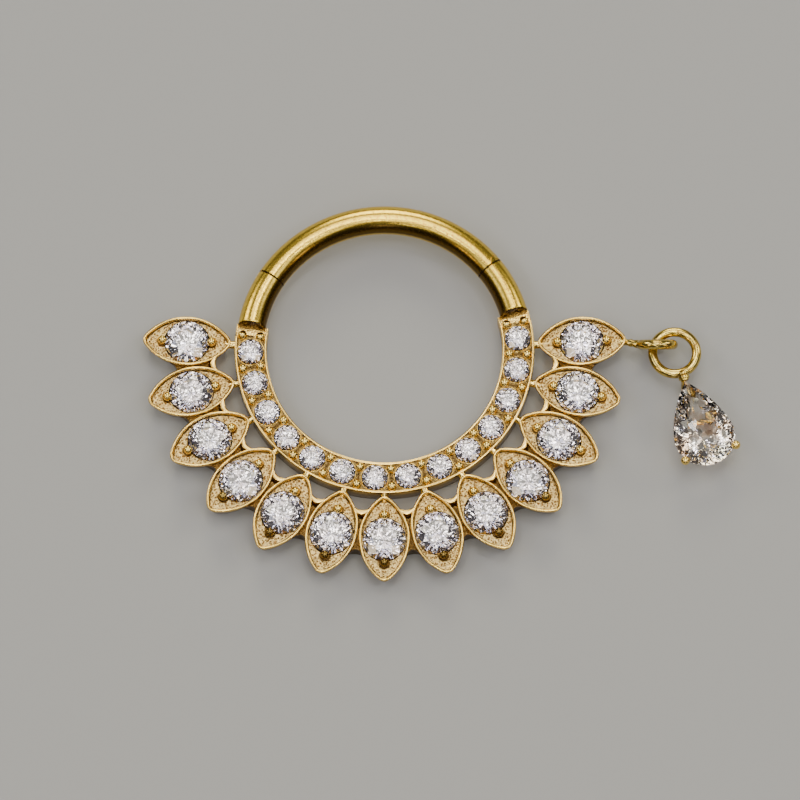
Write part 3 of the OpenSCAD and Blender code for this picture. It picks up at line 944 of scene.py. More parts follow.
@dataclass
class Band:
    """Pave band with polished rails, a seat for each stone, and beads between them.

    The rows of lip_shape are a share of the lip's width and a share of its height. The steps are angles in
    degrees from the last stone's share to the start and the end of the rise to the plain plate, and to a loop
    just past it.
    """

    centre: HoopCentre
    cut: Brilliant
    r_in: float = 5.0
    r_out: float = 6.35
    height: float = 0.95
    rail_w: float = 0.1
    rail_crown: float = 0.1
    rail_bevel: float = 1.6
    channel_depth: float = 0.06
    stone_d: float = 1.08
    count: int = 14
    pitch: float = 14.168
    middle: float = 273.0
    right_end: float = 16.5
    left_end: float = 169.5
    step_start: float = 0.4
    step_end: float = 1.0
    step_past: float = 1.4
    bead_offset: float = 0.38
    bead_r: float = 0.2
    bead_lift: float = 0.04
    bead_jitter: float = 0.012
    bead_rows: int = 8
    bead_sides: int = 24
    lip_w: float = 0.05
    lip_h: float = 0.03
    lip_room: float = 0.9
    lip_shape: Table = ((1.0, 0.0), (0.8, 0.7), (0.5, 1.0), (0.2, 0.8), (0.0, 0.2))
    edge: float = 0.02
    along: int = 16
    across: int = 12

    @property
    def floor_z(self) -> float:
        """Height of the channel's floor."""
        return self.height - self.channel_depth

    @property
    def mid_r(self) -> float:
        """Radius on which the stones are centred."""
        return (self.r_in + self.r_out) / 2

    @property
    def row_start(self) -> float:
        """Angle where the first stone's share of the band starts."""
        return self.middle - self.count / 2 * self.pitch

    def rail(self, outer: bool) -> tuple[Pairs, Pairs]:
        """Profile of a rail from the channel's floor over its top and down its side to the back.

        Args:
            outer: Whether it is the outer rail.

        Returns:
            Pairs of radius and height, for its top and for its side.
        """
        soft, w, h = self.edge, self.rail_w, self.height
        mid, bevel = SOFT_MID * soft, self.rail_bevel * soft
        top = [(w, self.floor_z), (w, h - soft), (w - mid, h - mid), (w - soft, h)]
        top += [(w / 2, h + self.rail_crown * soft), (bevel, h), (soft / 2, h - soft / 2)]
        side = [(0.0, h - bevel), (0.0, h / 2), (0.0, soft), (mid, mid), (soft, 0.0)]
        base, way = (self.r_out, -1) if outer else (self.r_in, 1)
        top, side = ([(base + way * d, z) for d, z in part] for part in (top, side))
        return top, side

    def frame_loop(self, r_low: float, r_high: float, height: float) -> np.ndarray:
        """Closed level loop round one stone's share of the band.

        Args:
            r_low: Radius of the loop's inner side.
            r_high: Radius of its outer side.
            height: Its height.

        Returns:
            Loop of points.
        """
        half = self.pitch / 2
        turn = np.linspace(-half, half, self.along + 1)
        reach = np.linspace(r_high, r_low, self.across + 1)
        sides = [
            polar(r_high, turn[:-1], height),
            polar(reach[:-1], half, height),
            polar(r_low, turn[::-1][:-1], height),
            polar(reach[::-1][:-1], -half, height),
        ]
        return np.concatenate(sides)

    def unit(self) -> Mesh:
        """Mesh of one stone's share of the band, open towards its neighbours.

        Returns:
            The mesh, round the hoop's centre.
        """
        border = self.frame_loop(self.r_in + self.rail_w, self.r_out - self.rail_w, self.floor_z)
        middle = np.array([self.mid_r, 0.0, self.floor_z])
        ray = border - middle
        length = np.linalg.norm(ray, axis=1, keepdims=True)
        ray = ray / length
        rim_r = self.stone_d / 2 + self.cut.gap
        room = length - rim_r
        lip = np.minimum(self.lip_w, self.lip_room * room)
        rise = self.lip_h * np.clip(room / self.lip_w, 0.0, 1.0)
        up = np.array([0.0, 0.0, 1.0])
        loops = [border]
        loops += [middle + ray * (rim_r + share * lip) + up * rise * lift for share, lift in self.lip_shape]
        seat = self.cut.seat(self.stone_d, self.floor_z + self.cut.gap)
        loops += [np.array([self.mid_r, 0.0, z]) + ray * radius for radius, z in seat]
        loops.append(self.frame_loop(self.r_in + self.edge, self.r_out - self.edge, 0.0))
        # The corner and channel round each seat, the seat and the back take painted shade through their kinds
        kinds = [Surface.CORNER, Surface.CHANNEL] + [Surface.POLISH] * 3 + [Surface.SEAT] * (len(seat) + 1)
        skin = Skin().loft(np.array(loops), [*kinds, Surface.BACK], Cap.OPEN)
        turn = np.linspace(-self.pitch / 2, self.pitch / 2, self.along + 1)
        for outer in (True, False):
            top, side = self.rail(outer)
            # The rails' corners, walls and back take painted shade through their kinds
            kinds = [Surface.CORNER] + [Surface.POLISH] * len(top)
            kinds += [Surface.WALL] * (len(side) - 2) + [Surface.BACK]
            skin.loft(np.array([polar(r, turn, z) for r, z in top + side]), kinds, Cap.OPEN, closed=False)
        return skin.mesh("band_unit")

    def section(self, angle: float, floor_z: float) -> np.ndarray:
        """Closed cross-section of the band at an angle, with the points of a unit's open side.

        Args:
            angle: Angle in degrees.
            floor_z: Height of the floor between the rails.

        Returns:
            Loop of points.
        """
        outer, inner = (
            [(r, max(z, floor_z)) for r, z in top] + side
            for top, side in (self.rail(True), self.rail(False))
        )
        floor = [(r, floor_z) for r in np.linspace(outer[0][0], inner[0][0], self.across + 1)]
        back = [(r, 0.0) for r in np.linspace(inner[-1][0], outer[-1][0], self.across + 1)]
        loop = floor[:-1] + inner[:-1] + back[:-1] + outer[::-1][:-1]
        return np.array([polar(r, angle, z) for r, z in loop])

    def end(self, name: str, start: float, stop: float) -> bpy.types.Object:
        """Plain stretch between the last stone and the band's end.

        Args:
            name: Name of the object.
            start: Angle where it joins the row.
            stop: Angle of the band's end.

        Returns:
            The object, open where it joins the row.
        """
        way = 1 if stop > start else -1
        plate_z = self.height - self.edge
        stations = [
            (start, self.floor_z),
            (start + self.step_start * way, self.floor_z),
            (start + self.step_end * way, plate_z),
            (start + self.step_past * way, plate_z),
            (stop, plate_z),
        ]
        loops = np.array([self.section(a, z) for a, z in stations])
        skin = Skin().loft(loops, Surface.SATIN, Cap.OPEN)
        count = loops.shape[1]
        last = (len(stations) - 1) * count
        skin.faces.append(tuple(last + j for j in range(count)))
        return new_object(name, skin.mesh(name, self.centre))

    def beads(self) -> Mesh:
        """Mesh of two beads, one on each side of the gap between two stones.

        Returns:
            The mesh, round the middle between the beads.
        """
        r = self.bead_r
        curve = sweep(r, np.linspace(0.0, math.pi / 2, self.bead_rows + 1)[:-1])
        dome = [(0.0, -r), (r, -r), *curve, (0.0, r)]
        skin = Skin()
        for side in (-1, 1):
            place = np.array([side * self.bead_offset, 0.0, self.floor_z + self.bead_lift])
            skin.loft(lathe(dome, self.bead_sides) + place, cap=Cap.OPEN)
        return skin.mesh("bead_pair")

    def build(self, gold: Material, bead_gold: Material) -> None:
        """Builds the band and its beads.

        Args:
            gold: Material of the band.
            bead_gold: Material of the beads.
        """
        start = self.row_start
        first = self.middle - (self.count - 1) / 2 * self.pitch
        row = HoopRow(self.centre, self.count, self.pitch, first).make("band_row", self.unit(), gold)
        left = self.end("band_left_end", start, self.left_end)
        right = self.end("band_right_end", start + self.count * self.pitch - 360.0, self.right_end)
        settle(weld("pave_band", [row, left, right]), gold, HOOP_NODE)
        beads = HoopRow(self.centre, self.count + 1, self.pitch, start, self.mid_r, self.bead_jitter)
        settle(beads.make("pave_beads", self.beads(), bead_gold), bead_gold, HOOP_NODE)


@dataclass
class Fan:
    """Thirteen leaf-shaped cells with rims, joined by webs and standing on posts.

    The rows of notch are a share of the notch's radius and a height above the girdle. The rows of post_shape
    are a share of the post's length and a share of its radius.
    """

    centre: HoopCentre
    cut: Brilliant
    band_r: float = 6.35
    count: int = 13
    path_r: float = 8.38
    pitch: float = 15.4
    middle: float = 270.0
    length: float = 3.72
    width: float = 2.16
    tip_r: float = 0.38
    taper: float = 0.25
    rim_w: float = 0.12
    rim_h: float = 1.1
    rim_steps: int = 9
    recess: float = 0.22
    stone_d: float = 1.84
    prong_offset: float = 1.04
    prong_r: float = 0.19
    prong_steps: int = 11
    prong_sides: int = 28
    ball_low: float = -0.5
    stem_r: float = 0.165
    stem_rise: float = 0.05
    notch: Table = ((0.8, 0.19), (0.56, 0.35), (0.0, 0.4))
    notch_sides: int = 96
    web_h: float = 0.75
    web_in_r: float = 6.93
    web_out_r: float = 9.1
    web_rows: int = 6
    web_points: int = 17
    scoop_r: float = 0.26
    saddle_w: float = 0.22
    saddle_drop: float = 0.01
    saddle_soft: float = 0.04
    saddle_crown: float = 0.2
    saddle_steps: int = 5
    post_r: float = 0.18
    post_z: float = 0.74
    post_bury: float = 0.2
    post_shape: Table = ((0.0, 1.0), (0.3, 0.93), (0.5, 0.9), (0.7, 0.93), (1.0, 1.0))
    bury: float = 0.05
    web_bury: float = 0.07
    soft: float = 0.02
    clump_h: float = 0.045
    # Width round each prong's foot where the sand takes painted shade
    prong_shade_w: float = 0.05
    side_steps: int = 64
    tip_steps: int = 14
    floor_steps: int = 12

    @property
    def tip_path(self) -> float:
        """Distance of a tip's centre from the cell's middle."""
        return self.length / 2 - self.tip_r

    @property
    def side_r(self) -> float:
        """Radius of a cell's long sides."""
        half = self.width / 2
        return (half**2 + self.tip_path**2 - self.tip_r**2) / (2 * (half - self.tip_r))

    @property
    def floor_z(self) -> float:
        """Height of the recess floor."""
        return self.rim_h - self.recess

    @property
    def first(self) -> float:
        """Angle of the first cell."""
        return self.middle - (self.count - 1) / 2 * self.pitch

    def outline(self, inset: float) -> np.ndarray:
        """Outline of a cell, narrowed all round.

        Args:
            inset: Distance inwards.

        Returns:
            Array of points in the plane.
        """
        offset = self.side_r - self.width / 2
        turn = math.atan2(offset, self.tip_path)
        pieces = []
        for base, tip_x, side_y in ((0.0, self.tip_path, -offset), (math.pi, -self.tip_path, offset)):
            tip = np.linspace(base - turn, base + turn, self.tip_steps + 1)[:-1]
            side = np.linspace(base + turn, base + math.pi - turn, self.side_steps + 1)[:-1]
            r_tip = self.tip_r - inset
            r_side = self.side_r - inset
            pieces.append(np.stack([tip_x + r_tip * np.cos(tip), r_tip * np.sin(tip)], axis=1))
            pieces.append(np.stack([r_side * np.cos(side), side_y + r_side * np.sin(side)], axis=1))
        return np.concatenate(pieces)

    def cell(self) -> Mesh:
        """Mesh of one cell with its rounded rim, recess, seat and open back.

        Returns:
            The mesh, round the stone's centre.
        """
        edge, soft, foot = self.rim_w / 2, self.soft, self.taper
        wall_z = self.rim_h - edge
        turn = np.linspace(0.0, math.pi, self.rim_steps)
        rim = [(edge - edge * math.cos(a), wall_z + edge * math.sin(a)) for a in turn]
        mid = SOFT_MID * soft
        steps = [(foot + soft, 0.0), (foot + mid, mid), (foot * (1 - soft / wall_z), soft)]
        steps += [(foot / 2, wall_z / 2), *rim]
        steps += [(self.rim_w, self.floor_z + soft), (self.rim_w + mid, self.floor_z + mid)]
        steps += [(self.rim_w + soft, self.floor_z), (self.rim_w + 3 * soft, self.floor_z)]
        loops = [level(self.outline(d), z) for d, z in steps]
        # The walls, the back and the corners inside the rim take painted shade through their kinds
        kinds = [Surface.BACK] * 2 + [Surface.WALL] * 2 + [Surface.POLISH] * len(rim)
        kinds += [Surface.CORNER] * 3 + [Surface.SAND]
        edge_loop = loops[-1][:, :2]
        ray = edge_loop / np.linalg.norm(edge_loop, axis=1, keepdims=True)
        rim_r = self.stone_d / 2 + self.cut.gap
        for share in np.linspace(1.0, 0.0, self.floor_steps + 1)[1:-1]:
            loops.append(level(share * edge_loop + (1 - share) * ray * rim_r, self.floor_z))
            kinds.append(Surface.SAND)
        for radius, z in [(rim_r, self.floor_z), *self.cut.seat(self.stone_d, self.floor_z + self.cut.gap)]:
            loops.append(level(ray * radius, z))
            kinds.append(Surface.SEAT)
        skin = Skin().loft(np.array(loops), kinds, Cap.RING)
        # Sand round each prong's foot is made a corner, so it takes painted shade
        points = skin.points[0]
        beside = np.hypot(np.abs(points[:, 0]) - self.prong_offset, points[:, 1]) < self.prong_r + self.prong_shade_w
        skin.kinds = [
            Surface.CORNER if near and kind is Surface.SAND else kind
            for near, kind in zip(beside, skin.kinds)
        ]
        return skin.mesh("cell_unit")

    def web(self) -> Mesh:
        """Mesh of one web between two cells, with its raised saddle on the inner side.

        Returns:
            The mesh, round the hoop's centre, with +X through the web's middle.
        """
        across = np.linspace(-1.0, 1.0, self.web_points)
        top_z = self.rim_h - self.saddle_drop
        soft, wide = self.saddle_soft, self.saddle_w
        turn = np.linspace(0.0, QUARTER, self.saddle_steps)
        edge = [(soft * (1 - math.cos(t)), top_z - soft * (1 - math.sin(t))) for t in turn]
        crown = (wide / 2, top_z + self.saddle_crown * soft)
        saddle = [*edge, crown, *((wide - d, z) for d, z in reversed(edge))]
        steps = [*saddle, (wide + soft, self.web_h + soft), (wide + 2 * soft, self.web_h)]
        inner = self._web_edge(across, self.web_in_r, 1)
        outer = self._web_edge(across, self.web_out_r, -1)
        rows = [(inner + step, z) for step, z in steps]
        for number in range(1, self.web_rows + 1):
            share = number / self.web_rows
            rows.append(((inner + steps[-1][0]) * (1 - share) + outer * share, self.web_h))
        loops = []
        for reach, z in rows:
            half = self._half_gap(reach) + self.web_bury
            top = level(np.stack([reach, across * half], axis=1), z)
            foot = level(np.stack([reach, across * (half + self.taper)], axis=1), 0.0)[::-1]
            loops.append(np.concatenate([top, foot]))
        # The web beyond the saddle takes painted shade through its kind
        kinds = [Surface.POLISH] * len(saddle) + [Surface.WEB] * (len(rows) - len(saddle))
        skin = Skin().loft(np.array(loops), kinds, Cap.OPEN)
        count = 2 * self.web_points
        for base, order in ((0, 1), ((len(loops) - 1) * count, -1)):
            for j in range(self.web_points - 1):
                quad = (base + j, base + count - 1 - j, base + count - 2 - j, base + j + 1)
                skin.faces.append(quad[::order])
        return skin.mesh("web_unit")

    def _web_edge(self, across: np.ndarray, radius: float, sign: int) -> np.ndarray:
        """Scooped edge of a web.

        Args:
            across: Positions from -1 to 1 across the web.
            radius: Distance of the scoop's centre from the hoop's centre.
            sign: 1 for the inner edge, -1 for the outer one.

        Returns:
            Distances of the edge from the hoop's centre.
        """
        scoop = np.sqrt(np.maximum(self.scoop_r**2 - (across * self.scoop_r) ** 2, 0.0))
        return radius + sign * scoop

    def _half_gap(self, reach: np.ndarray) -> np.ndarray:
        """Half of the gap between two neighbouring cells.

        Args:
            reach: Distances from the hoop's centre along the middle of the gap.

        Returns:
            Half the gap at each.
        """
        turn = math.radians(self.pitch / 2)
        offset = self.side_r - self.width / 2
        along = reach * math.cos(turn) - self.path_r
        beside = reach * math.sin(turn)
        wall = np.sqrt(np.maximum(self.side_r**2 - along**2, 0.0)) - offset
        return np.maximum((beside - wall) / math.cos(turn), 0.0)

    def prongs(self) -> Mesh:
        """Mesh of the two ball prongs of a cell, notched for the stone.

        Returns:
            The mesh, round the stone's centre.
        """
        floor, gap = self.floor_z, self.cut.gap
        ball_z = floor + self.prong_r
        ball = sweep(self.prong_r, np.linspace(self.ball_low, math.pi / 2, self.prong_steps + 1)[:-1], ball_z)
        foot_z, stem_r = floor - self.bury, self.stem_r
        stem = [(0.0, foot_z), (stem_r, foot_z), (stem_r, floor + self.stem_rise)]
        loops = lathe([*stem, *ball, (0.0, ball_z + self.prong_r)], self.prong_sides)
        skin = Skin()
        for side in (-1, 1):
            skin.loft(loops + np.array([side * self.prong_offset, 0.0, 0.0]), cap=Cap.OPEN)
        obj = new_object("prongs", skin.mesh("prong_pair"))
        girdle = floor + gap
        radius = self.stone_d / 2 + gap
        room = [(0.0, girdle - self.stone_d / 2), (radius, girdle - gap)]
        room += [(radius, girdle + self.stone_d * self.cut.girdle + gap)]
        room += [(share * radius, girdle + rise) for share, rise in self.notch]
        carve(obj, [Skin().loft(lathe(room, self.notch_sides), cap=Cap.OPEN).mesh("notch")])
        mesh = obj.data
        bpy.data.objects.remove(obj)
        return mesh

    def posts(self) -> Mesh:
        """Mesh of the short post between a cell and the band.

        Returns:
            The mesh, round the hoop's centre.
        """
        start = np.array([self.band_r - self.bury, 0.0, self.post_z])
        end = np.array([self.path_r - self.length / 2 + self.post_bury, 0.0, self.post_z])
        radii = [(share, part * self.post_r) for share, part in self.post_shape]
        return Skin().loft(rod(start, end, radii)).mesh("post_unit")

    def build(self, gold: Material, ball_gold: Material) -> None:
        """Builds the cells, webs, prongs and posts.

        Args:
            gold: Material of the cells and webs.
            ball_gold: Material of the ball prongs and posts.
        """
        cells = HoopRow(self.centre, self.count, self.pitch, self.first, self.path_r, relief=self.clump_h)
        webs = HoopRow(self.centre, self.count - 1, self.pitch, self.first + self.pitch / 2)
        prongs = HoopRow(self.centre, self.count, self.pitch, self.first, self.path_r)
        posts = HoopRow(self.centre, self.count, self.pitch, self.first)
        for name, row, unit, material in (
            ("fan_cells", cells, self.cell(), gold),
            ("fan_webs", webs, self.web(), gold),
            ("fan_prongs", prongs, self.prongs(), ball_gold),
            ("fan_posts", posts, self.posts(), ball_gold),
        ):
            settle(row.make(name, unit, material), material, HOOP_NODE)


@dataclass
class Wire:
    """Fixed stubs of the round wire with the hinge fork and the catch slot."""

    centre: HoopCentre
    wire_r: float = 0.6
    path_r: float = 5.69
    z: float = 1.2
    hinge: float = 38.0
    catch: float = 147.5
    band_right: float = 15.0
    band_left: float = 171.0
    floor_z: float = 0.89
    lean: float = 7.0
    pin_out: float = 0.36
    bore_r: float = 0.13
    bore_sides: int = 32
    nose_r: float = 0.25
    nose_points: int = 25
    slot_r: float = 0.28
    slot_half: float = 0.22
    slot_sides: int = 48
    reach: float = 0.6
    tab_inner: float = -0.13
    tab_half: float = 0.18
    tab_len: float = 0.43
    soft: float = 0.02
    seam_shade: float = 0.03
    step: float = 0.9
    least_steps: int = 4
    sides: int = 56

    def ring(self, angle: float, radius: float, lean: float = 0.0) -> np.ndarray:
        """One loop of the wire.

        Args:
            angle: Angle round the hoop, in degrees.
            radius: Radius of the loop.
            lean: Angle in degrees by which the loop leans back from upright, about the band's floor.

        Returns:
            Loop of points.
        """
        turn = np.arange(self.sides) * FULL_TURN / self.sides
        reach = self.path_r + radius * np.cos(turn)
        height = self.z + radius * np.sin(turn)
        shift = (height - self.floor_z) * math.tan(math.radians(lean)) / reach
        return polar(reach, angle + np.degrees(np.arcsin(shift)), height)

    def arc(self, start: float, stop: float, lean: float) -> Skin:
        """Arc of wire whose first end leans and whose edges are softened.

        Args:
            start: Angle of the leaning end.
            stop: Angle of the square end.
            lean: Signed angle by which the first end leans.

        Returns:
            The skin.
        """
        way = 1 if stop > start else -1
        soft_turn = math.degrees(self.soft / self.path_r) * way
        seam_turn = self.seam_shade / self.soft * soft_turn
        slim, mid = self.wire_r - self.soft, self.wire_r - SOFT_MID * self.soft
        loops = [
            self.ring(start, slim, lean),
            self.ring(start + SOFT_MID * soft_turn, mid, lean),
            self.ring(start + soft_turn, self.wire_r, lean),
        ]
        count = max(int(abs(stop - start) / self.step), self.least_steps)
        for share in np.linspace(0.0, 1.0, count + 1)[1:-1]:
            loops.append(self.ring(start + (stop - start) * share, self.wire_r, lean * (1 - share) ** 2))
        loops += [
            self.ring(stop - seam_turn, self.wire_r),
            self.ring(stop - soft_turn, self.wire_r),
            self.ring(stop - SOFT_MID * soft_turn, mid),
            self.ring(stop, slim),
        ]
        # The cut ends take painted shade; at the square end it starts a short way back, as a dark seam line
        seam = [Surface.CUT_END] * 3
        kinds = [Surface.CUT_END] + [Surface.POLISH] * (len(loops) - len(seam) - 1) + seam
        return Skin().loft(np.array(loops), kinds)

    def plate(self, name: str, outline: Pairs, half: float, angle: float, radius: float) -> Mesh:
        """Upright prism over an outline, at a place on the hoop and with the outline's +X outwards.

        Args:
            name: Name of the mesh.
            outline: Points of its plan.
            half: Half of its height, about the wire's centre line.
            angle: Angle in degrees.
            radius: Distance from the hoop's centre.

        Returns:
            The mesh.
        """
        loops = np.array([level(np.array(outline), z) for z in (-half, half)])
        placed = (loops + np.array([radius, 0.0, self.z])) @ spin(angle)
        return Skin().loft(placed).mesh(name, self.centre)

    def disc(self, name: str, radius: float, sides: int, half: float) -> Mesh:
        """Upright disc round the hinge's pin.

        Args:
            name: Name of the mesh.
            radius: The disc's radius.
            sides: Number of its sides.
            half: Half of its height.

        Returns:
            The mesh.
        """
        outline = sweep(radius, np.arange(sides) * FULL_TURN / sides)
        return self.plate(name, outline, half, self.hinge, self.path_r + self.pin_out)

    def build(self, gold: Material) -> None:
        """Builds both stubs.

        Args:
            gold: Material of the wire.
        """
        far = 2 * self.wire_r
        past = math.degrees(self.reach / 2 / self.path_r)
        nose = sweep(self.nose_r, np.linspace(math.pi, 0.0, self.nose_points))
        past_seam = [(-2 * far, 0.0), *nose, (far, 0.0), (far, far), (-2 * far, far)]
        tab = [(self.tab_inner, -far), (far, -far), (far, self.tab_len), (self.tab_inner, self.tab_len)]
        right = self.arc(self.band_right, self.hinge + past, self.lean)
        left = self.arc(self.band_left, self.catch, -self.lean)
        hinge_cuts = [
            self.plate("past_seam", past_seam, far, self.hinge, self.path_r + self.pin_out),
            self.disc("slot", self.slot_r, self.slot_sides, self.slot_half),
            self.disc("bore", self.bore_r, self.bore_sides, far),
        ]
        catch_cuts = [self.plate("catch_slot", tab, self.tab_half, self.catch, self.path_r)]
        for side, skin, cuts in (("right", right, hinge_cuts), ("left", left, catch_cuts)):
            stub = new_object(f"{side}_stub", skin.mesh(side, self.centre))
            carve(stub, cuts)
            settle(stub, gold, HOOP_NODE)


@dataclass
class Eyelet:
    """Side eyelet on the last cell's tip, with its soldered post.

    The rows of post_shape are a share of the post's length and a share of its radius.
    """

    centre: HoopCentre
    tip_r: float = 10.24
    tip_angle: float = 2.4
    reach: float = 1.32
    y: float = 0.22
    z: float = 0.95
    path_r: float = 0.685
    wire_r: float = 0.21
    ring_loops: int = 72
    sides: int = 24
    lean: float = 17.0
    post_z: float = 0.74
    post_r: float = 0.18
    post_shape: Table = (
        (0.0, 1.0), (0.2, 0.82), (0.35, 0.72), (0.5, 0.98), (0.62, 0.8), (0.8, 1.0), (1.0, 1.0),
    )
    bury: float = 0.2

    def build(self, gold: Material) -> None:
        """Builds the eyelet.

        Args:
            gold: Its material.
        """
        turn = math.radians(90.0 + self.lean)
        c, s = math.cos(turn), math.sin(turn)
        upright = np.array([[1.0, 0.0, 0.0], [0.0, c, s], [0.0, -s, c]])
        tip = polar(self.tip_r, self.tip_angle, 0.0)
        middle = np.array([tip[0] + self.reach, self.y, self.z])
        ring = torus(self.path_r, self.wire_r, self.ring_loops, self.sides) @ upright + middle
        start = np.array([tip[0] - self.bury, tip[1], self.post_z])
        end = middle - np.array([self.path_r, 0.0, 0.0])
        radii = [(share, part * self.post_r) for share, part in self.post_shape]
        skin = Skin().loft(ring, cap=Cap.RING).loft(rod(start, end, radii, self.sides))
        settle(new_object("side_eyelet", skin.mesh("side_eyelet", self.centre)), gold, HOOP_NODE)


@dataclass
class Drop:
    """Setting of the pear drop: jump ring, collar, claw, and a gallery with two ball prongs.

    The rows of collar_grooves are a share of the collar's length and a share of the groove's depth there. A
    prong passes from the rail's radius to its stem's up to prong_share of its length, and the claw does so
    from claw_share of its length on.
    """

    centre: HoopCentre
    ring_x: float = 12.3
    ring_y: float = -0.15
    ring_z: float = 0.95
    ring_path_r: float = 0.93
    ring_wire_r: float = 0.2
    ring_loops: int = 96
    sides: int = 28
    angle: float = -72.1
    neck: float = 0.26
    length: float = 3.86
    width: float = 2.6
    stone_z: float = 1.17
    girdle: float = 0.057
    crown: float = 0.416
    pavilion: float = 1.118
    table_inset: float = 0.572
    gap: float = 0.015
    pocket_sides: int = 96
    prong_angle: float = 54.0
    prong_out: float = 0.09
    prong_r: float = 0.19
    prong_share: float = 0.15
    ball_low: float = -0.66
    ball_steps: int = 18
    ball_sides: int = 32
    dome_steps: int = 21
    collar_r: float = 0.24
    collar_half: float = 0.18
    collar_groove: float = 0.06
    collar_grooves: Table = (
        (0.0, 1.0), (0.06, 0.0), (0.32, 0.0), (0.38, 1.0), (0.44, 1.0),
        (0.5, 0.0), (0.78, 0.0), (0.84, 1.0), (1.0, 1.0),
    )
    stem_r: float = 0.15
    claw_share: float = 0.6
    rail_path_r: float = 0.72
    rail_r: float = 0.12
    rail_z: float = 0.14
    rail_loops: int = 64
    rail_sides: int = 20
    arm_angle: float = 130.0

    @property
    def round_r(self) -> float:
        """Radius of the stone's round end."""
        return self.width / 2

    @property
    def tip_x(self) -> float:
        """Distance of the stone's tip from the centre of its round end."""
        return self.length - self.round_r

    def place(self, points: np.ndarray) -> np.ndarray:
        """Moves points from the stone's own frame to the hoop's frame.

        Args:
            points: Points round the centre of the stone's round end, with +X from the ring along the drop.

        Returns:
            The moved points.
        """
        turn = math.radians(self.angle)
        reach = self.ring_path_r + self.ring_wire_r + self.neck + self.tip_x
        shift = np.array([self.ring_x + reach * math.cos(turn), self.ring_y + reach * math.sin(turn), 0.0])
        return points @ spin(self.angle) + shift

    def on_rail(self, angle: float) -> np.ndarray:
        """Point on the gallery rail's centre line, at an angle in degrees."""
        turn = math.radians(angle)
        return np.array([self.rail_path_r * math.cos(turn), self.rail_path_r * math.sin(turn), self.rail_z])

    def prongs(self) -> bpy.types.Object:
        """Makes the two ball prongs, notched for the stone.

        Returns:
            The prongs as one object in the part's frame.
        """
        skin = Skin()
        ball_z = self.stone_z + self.girdle + self.prong_r / 2
        for side in (-1, 1):
            turn = math.radians(side * self.prong_angle)
            out = np.array([math.cos(turn), math.sin(turn), 0.0])
            top = out * (self.round_r + self.prong_out) + np.array([0.0, 0.0, ball_z])
            foot = self.on_rail(side * self.prong_angle)
            share = self.prong_r / float(np.linalg.norm(top - foot))
            angles = np.linspace(self.ball_low, QUARTER, self.ball_steps)
            ball = [(1.0 + share * math.sin(a), self.prong_r * math.cos(a)) for a in angles]
            radii = [(0.0, self.rail_r), (self.prong_share, self.stem_r), *ball]
            skin.loft(self.place(rod(foot, top, radii, self.ball_sides)))
        prongs = new_object("drop_prongs", skin.mesh("drop_prongs", self.centre))
        r = self.round_r + self.gap
        low = self.stone_z - self.gap
        high = self.stone_z + self.girdle + self.gap
        top_z = high + self.crown
        table_r = r - self.table_inset
        pocket = [(0.0, low - self.pavilion), (r, low), (r, high), (table_r, top_z), (0.0, top_z)]
        cutter = Skin().loft(self.place(lathe(pocket, self.pocket_sides)), cap=Cap.OPEN)
        carve(prongs, [cutter.mesh("pear_pocket", self.centre)])
        return prongs

    def mount(self) -> bpy.types.Object:
        """Makes the jump ring, neck, collar, claw and gallery.

        Returns:
            The mount as one object in the part's frame.
        """
        r, rail_r = self.prong_r, self.rail_r
        ring = torus(self.ring_path_r, self.ring_wire_r, self.ring_loops, self.sides)
        claw = np.array([-self.tip_x - r - self.gap, 0.0, self.stone_z])
        neck = np.array([-self.tip_x - self.neck - self.ring_wire_r, 0.0, self.ring_z])
        reach = np.array([self.collar_half, 0.0, 0.0])
        collar = [(share, self.collar_r - part * self.collar_groove) for share, part in self.collar_grooves]
        dome = sweep(r, np.linspace(-QUARTER, QUARTER, self.dome_steps))
        foot = np.array([claw[0] + rail_r, 0.0, self.rail_z])
        straight = [(0.0, rail_r), (1.0, rail_r)]
        lift = np.array([0.0, 0.0, self.rail_z])
        rail = torus(self.rail_path_r, rail_r, self.rail_loops, self.rail_sides) + lift
        skin = Skin().loft(ring + np.array([self.ring_x, self.ring_y, self.ring_z]), cap=Cap.RING)
        for loops in (
            rod(neck, claw, [(0.0, r), (1.0, r)], self.sides),
            rod(claw - reach, claw + reach, collar, self.sides),
            lathe(dome, self.ball_sides) + claw,
            rod(foot, self.on_rail(-self.arm_angle), straight),
            rod(foot, self.on_rail(self.arm_angle), straight),
            rod(foot, claw, [(0.0, rail_r), (self.claw_share, rail_r), (1.0, self.stem_r)]),
        ):
            skin.loft(self.place(loops))
        skin.loft(self.place(rail), cap=Cap.RING)
        return new_object("drop_mount", skin.mesh("drop_mount", self.centre))

    def build(self, gold: Material, ball_gold: Material) -> None:
        """Builds the setting.

        Args:
            gold: Material of the ring and the gallery.
            ball_gold: Material of the prongs.
        """
        settle(self.mount(), gold, DROP_NODE)
        settle(self.prongs(), ball_gold, DROP_NODE)


@dataclass(frozen=True)
class SkyLamp:
    """Round soft lamp in the sky. Angles are degrees and the azimuth is counted from +X."""

    azimuth: float
    elevation: float
    half: float
    power: float
    colour: Light = (1.0, 0.98, 0.87)
    blur: float = 0.2

    @property
    def way(self) -> tuple[float, float, float]:
        """Unit vector towards the lamp."""
        turn, rise = math.radians(self.azimuth), math.radians(self.elevation)
        return (math.cos(rise) * math.cos(turn), math.cos(rise) * math.sin(turn), math.sin(rise))

    def glow(self, desk: NodeDesk, place: Socket) -> Socket:
        """Lays the nodes of the lamp.

        Args:
            desk: Helper of the world's tree.
            place: Direction that is looked in.

        Returns:
            The lamp's light as a vector of its three colours.
        """
        near = desk.vector("DOT_PRODUCT", place, self.way)
        rim = math.cos(math.radians(self.half * (1 + self.blur)))
        core = math.cos(math.radians(self.half * (1 - self.blur)))
        return desk.vector("SCALE", self.colour, desk.ramp(near, rim, core, 0.0, self.power))


